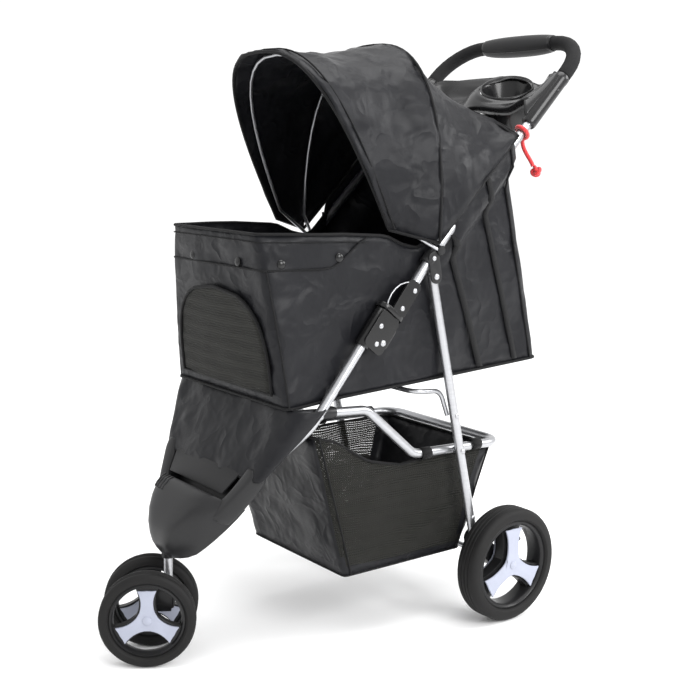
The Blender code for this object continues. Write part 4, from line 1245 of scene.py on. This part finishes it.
def gore(name, first, last, sag, steps, node, sizes):
    rows = canopy_rows(first, last, steps, sag)
    cloth = loft(name, rows, "nylon", None, "nylon", sharp=0)

    def hold(point):
        return min(smooth(point.z, 0.63, 0.69), 1.0) * 0.9 + 0.1

    subdivide(cloth)
    settle(cloth)
    crumple(cloth, 0.070, sizes.crease * 1.25, 1.0, hold)
    crumple(cloth, 0.024, sizes.crease * 0.45, 0.1, hold)
    thicken(cloth, sizes.cloth, 0)
    settle(cloth)
    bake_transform(cloth)
    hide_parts(node)
    return rows


def canopy(sizes):
    fore_bodies = ("canopy_mid", "canopy_front")
    fore = gore("canopy_front_cloth", MID_ARCH, FRONT_ARCH, 0.010, 12, "canopy_front_gore", sizes)
    aft_bodies = ("upper_frame", "canopy_mid")
    aft = gore("canopy_rear_cloth", REAR_ARCH, MID_ARCH, 0.012, 12, "canopy_rear_gore", sizes)
    soft_tube("canopy_brim_piping", fore[-1], sizes.piping * 1.15, "tape", "canopy_front")
    brim = [point + Vector((0, 0.0, 0.002)) for point in fore[-2]]
    soft_tube("canopy_brim_seam", [p + (p - Vector((0, 0.0, 0.66))).normalized() * 0.004 for p in brim],
              0.0014, "tape", "canopy_front")
    soft_tube("canopy_mid_seam", [p + (p - Vector((0, 0.07, 0.66))).normalized() * 0.0025 for p in fore[0]],
              0.0024, "tape", "canopy_mid")
    soft_tube("canopy_rear_seam", [p + (p - Vector((0, 0.07, 0.70))).normalized() * 0.002 for p in aft[0]],
              0.0024, "tape", "upper_frame")
    for (word, side), end in zip(SIDES, (0, -1)):
        for label, rows, bodies, start, end_seam in (("rear", aft, aft_bodies, REAR_SEAM, MID_SEAM),
                                                     ("front", fore, fore_bodies, MID_SEAM, BRIM_SEAM)):
            lower = [row[end] + Vector((0, 0, -0.001)) for row in rows]
            edge = soft_tube(f"canopy_{label}_hem_{word}", lower, 0.0026, "tape", None)
            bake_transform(edge)
        hub = CANOPY_PIVOT + Vector((side * (FRAME_X + TUBE + 0.0005), 0, 0))
        profile = [(0.0001, 0.0075), (0.0058, 0.0070), (0.0078, 0.005), (0.0082, 0.0), (0.0001, 0.0)]
        turned(f"canopy_hub_{word}", profile, hub, (side, 0, 0), "satin", "upper_frame", "black_plastic",
               steps=28)


# ---------------------------------------------------------------- basket and apron


def basket_point(x_share, along, up):
    low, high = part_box("storage_basket")
    front = -0.072 + (low.y + 0.002 + 0.072) * up
    rear = 0.172 + (high.y + 0.006 - 0.172) * up
    y = front + along * (rear - front)
    top = table([(0.0, 0.343), (0.10, 0.333), (0.28, 0.292), (0.46, 0.276), (0.60, 0.281),
                 (1.0, 0.281)], along)
    z = low.z + 0.001 + (top - low.z) * up
    half = 0.128 + 0.0065 * up
    belly = 0.006 * sin(pi * min(1.0, up * 1.1)) * sin(pi * along)
    return Vector((x_share * (half + belly * 0.4), y, z))


def basket(sizes):
    """The storage basket: nylon front, rear and floor, and open net sides under a bound edge."""
    half = [(0.93 * i / 7, 0.0) for i in range(8)] + [(0.98, 0.006), (1.0, 0.03)]
    half += [(1.0, 0.03 + 0.94 * i / 24) for i in range(1, 25)] + [(0.98, 0.995)]
    half += [(0.93 * (1 - i / 7), 1.0) for i in range(0, 8)]
    ring = half + [(-x, along) for x, along in reversed(half[1:-1])]
    levels = 14
    rows = [[basket_point(x, along, level / levels) for x, along in ring] for level in range(levels + 1)]
    body = loft("basket_bag", rows, "nylon", "basket_frame", "nylon", wrap=True, sharp=0)
    body.data.materials.append(finish_named("net"))
    work = bmesh.new()
    work.from_mesh(body.data)
    work.verts.ensure_lookup_table()
    work.faces.new([work.verts[i] for i in reversed(range(len(ring)))])
    bmesh.ops.recalc_face_normals(work, faces=work.faces)
    for face in work.faces:
        middle = face.calc_center_median()
        share = (middle.z - 0.110) / 0.17
        side_face = abs(face.normal.x) > 0.8
        if side_face and 0.06 < share and -0.062 - 0.075 * share < middle.y < 0.160 + 0.050 * share:
            face.material_index = 1
    work.to_mesh(body.data)
    work.free()

    def hold(point):
        return smooth(point.z, 0.110, 0.150)

    crumple(body, 0.065, sizes.crease * 0.9, 0.3, hold)
    thicken(body, 0.0010, -1)
    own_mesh(settle(body))
    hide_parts("storage_basket")
    for name, path, closed in (("basket_top_hem", rows[-1], True), ("basket_floor_seam", rows[0], True)):
        radius = 0.0024 if "top" in name else 0.0016
        hem = soft_tube(name, path, radius, "tape", "basket_frame", closed)
        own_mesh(hem)
    for word, side in SIDES:
        for label, along_low, along_high in (("fore", 0.05, 0.02), ("aft", 0.965, 0.985)):
            route = [basket_point(side, along_low + (along_high - along_low) * k / 10, k / 10)
                     + Vector((side * 0.0018, 0, 0)) for k in range(11)]
            seam = soft_tube(f"basket_seam_{label}_{word}", route, 0.0015, "tape", "basket_frame")
            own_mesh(seam)
        for k, y in enumerate((0.075, 0.185)):
            loop = []
            for step in range(21):
                angle = 2 * pi * step / 20
                loop.append(Vector((side * (BASKET_X + 0.0092 * cos(angle)), y,
                                    0.2915 + 0.0092 * sin(angle))))
            band = strip(f"basket_loop_{word}_{k}", loop, [(0, 1, 0)] * len(loop), 0.020, "tape",
                         "basket_frame", "nylon", 0.0010)
            settle(band)


def apron(sizes):
    """The cover in front of the legs, from under the cabin to the nose, wrapped round both legs."""
    rows = []
    for step in range(11):
        share = step / 10
        middle_y = -0.196 + (-0.243 + 0.196) * share
        middle_z = 0.397 + (0.292 - 0.397) * share
        leg_x = table([(0.0, FRAME_X), (0.16, FRAME_X - 0.003), (1.0, 0.118)], share)
        leg_y = table([(0.0, -0.153), (0.16, -0.166), (1.0, -0.232)], share)
        row = []
        for x, back, drop in ((0, 0, 0), (0.35, 0, 0), (0.65, 0.0005, 0), (0.86, 0.002, 0),
                              (0.99, 0.07, 0), (1.055, 0.33, 0), (1.075, 0.72, 0), (1.06, 1.08, 0),
                              (1.02, 1.22, 0), (0.97, 1.24, 0)):
            row.append(Vector((leg_x * x + (0.006 if x > 1 else 0), middle_y + (leg_y - middle_y) * back,
                               middle_z - drop)))
        mirror = [Vector((-p.x, p.y, p.z)) for p in reversed(row[1:])]
        rows.append(mirror + row)
    sheet = loft("front_apron", rows, "nylon", "front_frame", "nylon", sharp=0)
    subdivide(sheet, 2)
    settle(sheet)
    crumple(sheet, 0.050, sizes.crease * 0.8, 0.5)
    thicken(sheet, sizes.cloth, 1)
    settle(sheet)
    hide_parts("front_cover")
    soft_tube("apron_hem", rows[-1], 0.0020, "tape", "front_frame")


# ---------------------------------------------------------------- cord


def tied_cord():
    """A red cord wound once round the left handle tube, with a knotted tail."""
    radius = 0.0034
    centre = on_handle(1, 0.434 - 0.158)
    down = Vector((0, sin(HANDLE_SLOPE), -cos(HANDLE_SLOPE)))
    across = Vector((1, 0, 0))
    reach = TUBE + radius + 0.0003
    path = []
    for step in range(29):
        angle = 2 * pi * step / 28
        slide = 0.0034 * (1 - 2 * step / 28)
        path.append(centre + (down * cos(angle) - across * sin(angle)) * reach + GRIP_LINE * slide)
    end = path[-1]
    tail = [(-0.0040, 0.0006, -0.0012), (-0.0072, 0.0026, -0.0056), (-0.0080, 0.0050, -0.0120),
            (-0.0066, 0.0076, -0.0190), (-0.0034, 0.0100, -0.0262), (0.0008, 0.0124, -0.0334),
            (0.0040, 0.0146, -0.0400), (0.0056, 0.0162, -0.0450)]
    path += [end + Vector(step) for step in tail]
    length = sum((b - a).length for a, b in zip(path, path[1:]))
    cord = tube_piece("tied_cord", path, radius, "cord", "upper_frame", "red_cord", sides=12)
    low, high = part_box("pull_cord_knot")
    middle = (low + high) / 2
    strands = []
    for step in range(72):
        turn = 2 * pi * step / 72
        reach = 0.0052 + 0.0022 * cos(3 * turn)
        offset = Vector((reach * cos(2 * turn), 0.0040 * sin(3 * turn), reach * sin(2 * turn)))
        strands.append(middle + offset)
    knot = tube_piece("cord_knot", strands, 0.0030, "cord", "upper_frame", "red_cord", closed=True, sides=12)
    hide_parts("pull_cord_knot")
    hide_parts("pull_cord")


# ---------------------------------------------------------------- stage


PAPER = ((0.955, 0.955, 0.955), (0.975, 0.975, 0.975))
SKY = 1.1                       # strength of the white surroundings
LAMPS = (("key", (3.0, 0.2, 2.0), 85, 1.6), ("fill", (-1.2, -2.6, 1.6), 8, 2.2),
         ("top", (0.2, 0.4, 3.0), 50, 2.0), ("rim", (1.6, 2.4, 1.8), 40, 1.2))
EYE = (1.5128, -1.1427, 0.7758)
LOOK_BACK = Vector((0.7865, -0.5992, 0.1495)).normalized()
LEVEL = Vector((0.6060, 0.7955, 0)).normalized()
ROLL = radians(0.8)
LENS = 60.06
SHIFT = (0.0144, -0.0369)


def stage_and_camera():
    bpy.ops.mesh.primitive_plane_add(size=14, location=(0, 0, -0.001))
    floor = bpy.context.object
    floor.name = "floor"
    paper = Finish("paper", Roughness=0.9)
    paper.feed("Base Color", paper.mix(paper.noise(2, 2), *PAPER))
    floor.data.materials.append(paper.material)
    bpy.context.scene.view_settings.view_transform = "Standard"
    world = bpy.context.scene.world or bpy.data.worlds.new("studio")
    bpy.context.scene.world = world
    world.use_nodes = True
    world.node_tree.nodes["Background"].inputs["Color"].default_value = (1, 1, 1, 1)
    world.node_tree.nodes["Background"].inputs["Strength"].default_value = SKY
    for name, place, power, size in LAMPS:
        data = bpy.data.lights.new(name, "AREA")
        data.energy = power
        data.size = size
        lamp = bpy.data.objects.new(name, data)
        lamp.location = place
        aim = Vector((0, 0, 0.5)) - Vector(place)
        lamp.rotation_euler = aim.to_track_quat("-Z", "Y").to_euler()
        bpy.context.scene.collection.objects.link(lamp)
    data = bpy.data.cameras.new("camera")
    data.lens = LENS
    data.sensor_width = 36
    data.shift_x, data.shift_y = SHIFT
    camera = bpy.data.objects.new("camera", data)
    rise = LOOK_BACK.cross(LEVEL)
    right = LEVEL * cos(ROLL) + rise * sin(ROLL)
    up = rise * cos(ROLL) - LEVEL * sin(ROLL)
    camera.matrix_world = Matrix.Translation(EYE) @ Matrix((right, up, LOOK_BACK)).transposed().to_4x4()
    bpy.context.scene.collection.objects.link(camera)
    bpy.context.scene.camera = camera


# ---------------------------------------------------------------- operators and panel


def make_stage(scene):
    make_finishes(scene.stroller_colours)
    stage_and_camera()


def make_cord(scene):
    tied_cord()


def make_frame(scene):
    finish_frame()
    latch_fittings()
    leg_fittings()
    grip_details()


def make_all_wheels(scene):
    make_wheels()


def make_mouldings(scene):
    nose_bib()
    tray_surface()


def make_cabin(scene):
    ring = cabin_fabric(scene.stroller_sizes)
    cabin_trim(scene.stroller_sizes, ring)
    window()
    floor_pad()


def make_canopy(scene):
    canopy(scene.stroller_sizes)


def make_basket(scene):
    basket(scene.stroller_sizes)
    apron(scene.stroller_sizes)


def step_operator(name, hint, make):
    """An operator that runs one step of the build."""
    def execute(self, context):
        make(context.scene)
        return {"FINISHED"}

    content = {"__doc__": hint, "bl_idname": f"stroller.{name}", "bl_label": name.capitalize(),
               "bl_options": {"REGISTER", "UNDO"}, "execute": execute}
    return type(f"STROLLER_OT_{name}", (bpy.types.Operator,), content)


STEPS = [step_operator(*step) for step in (
    ("stage", "Make the floor, the lights and the camera", make_stage),
    ("cord", "Tie the red cord round the handle", make_cord),
    ("frame", "Finish the folding frame, its latches and its rivets", make_frame),
    ("wheels", "Make the tyres, rims, hubs and covers", make_all_wheels),
    ("mouldings", "Make the nose, its ribs and the handle tray", make_mouldings),
    ("cabin", "Sew the cabin, its window, its trim and its floor pad", make_cabin),
    ("canopy", "Stretch the canopy over its hoops", make_canopy),
    ("basket", "Hang the storage basket and the apron", make_basket))]


class STROLLER_PT_panel(bpy.types.Panel):
    """The stroller's settings and steps"""

    bl_label = "Pet Stroller"
    bl_space_type = "VIEW_3D"
    bl_region_type = "UI"
    bl_category = "Stroller"

    def draw(self, context):
        for settings in (context.scene.stroller_sizes, context.scene.stroller_colours):
            for name in settings.__annotations__:
                self.layout.prop(settings, name)
        for step in STEPS:
            self.layout.operator(step.bl_idname)


CLASSES = (StrollerSizes, StrollerColours, *STEPS, STROLLER_PT_panel)


def register():
    for item in CLASSES:
        bpy.utils.register_class(item)
    bpy.types.Scene.stroller_sizes = PointerProperty(type=StrollerSizes)
    bpy.types.Scene.stroller_colours = PointerProperty(type=StrollerColours)


def unregister():
    del bpy.types.Scene.stroller_colours
    del bpy.types.Scene.stroller_sizes
    for item in reversed(CLASSES):
        bpy.utils.unregister_class(item)


def main():
    register()
    for step in STEPS:
        group, name = step.bl_idname.split(".")
        getattr(getattr(bpy.ops, group), name)()


if __name__ == "__main__":
    main()
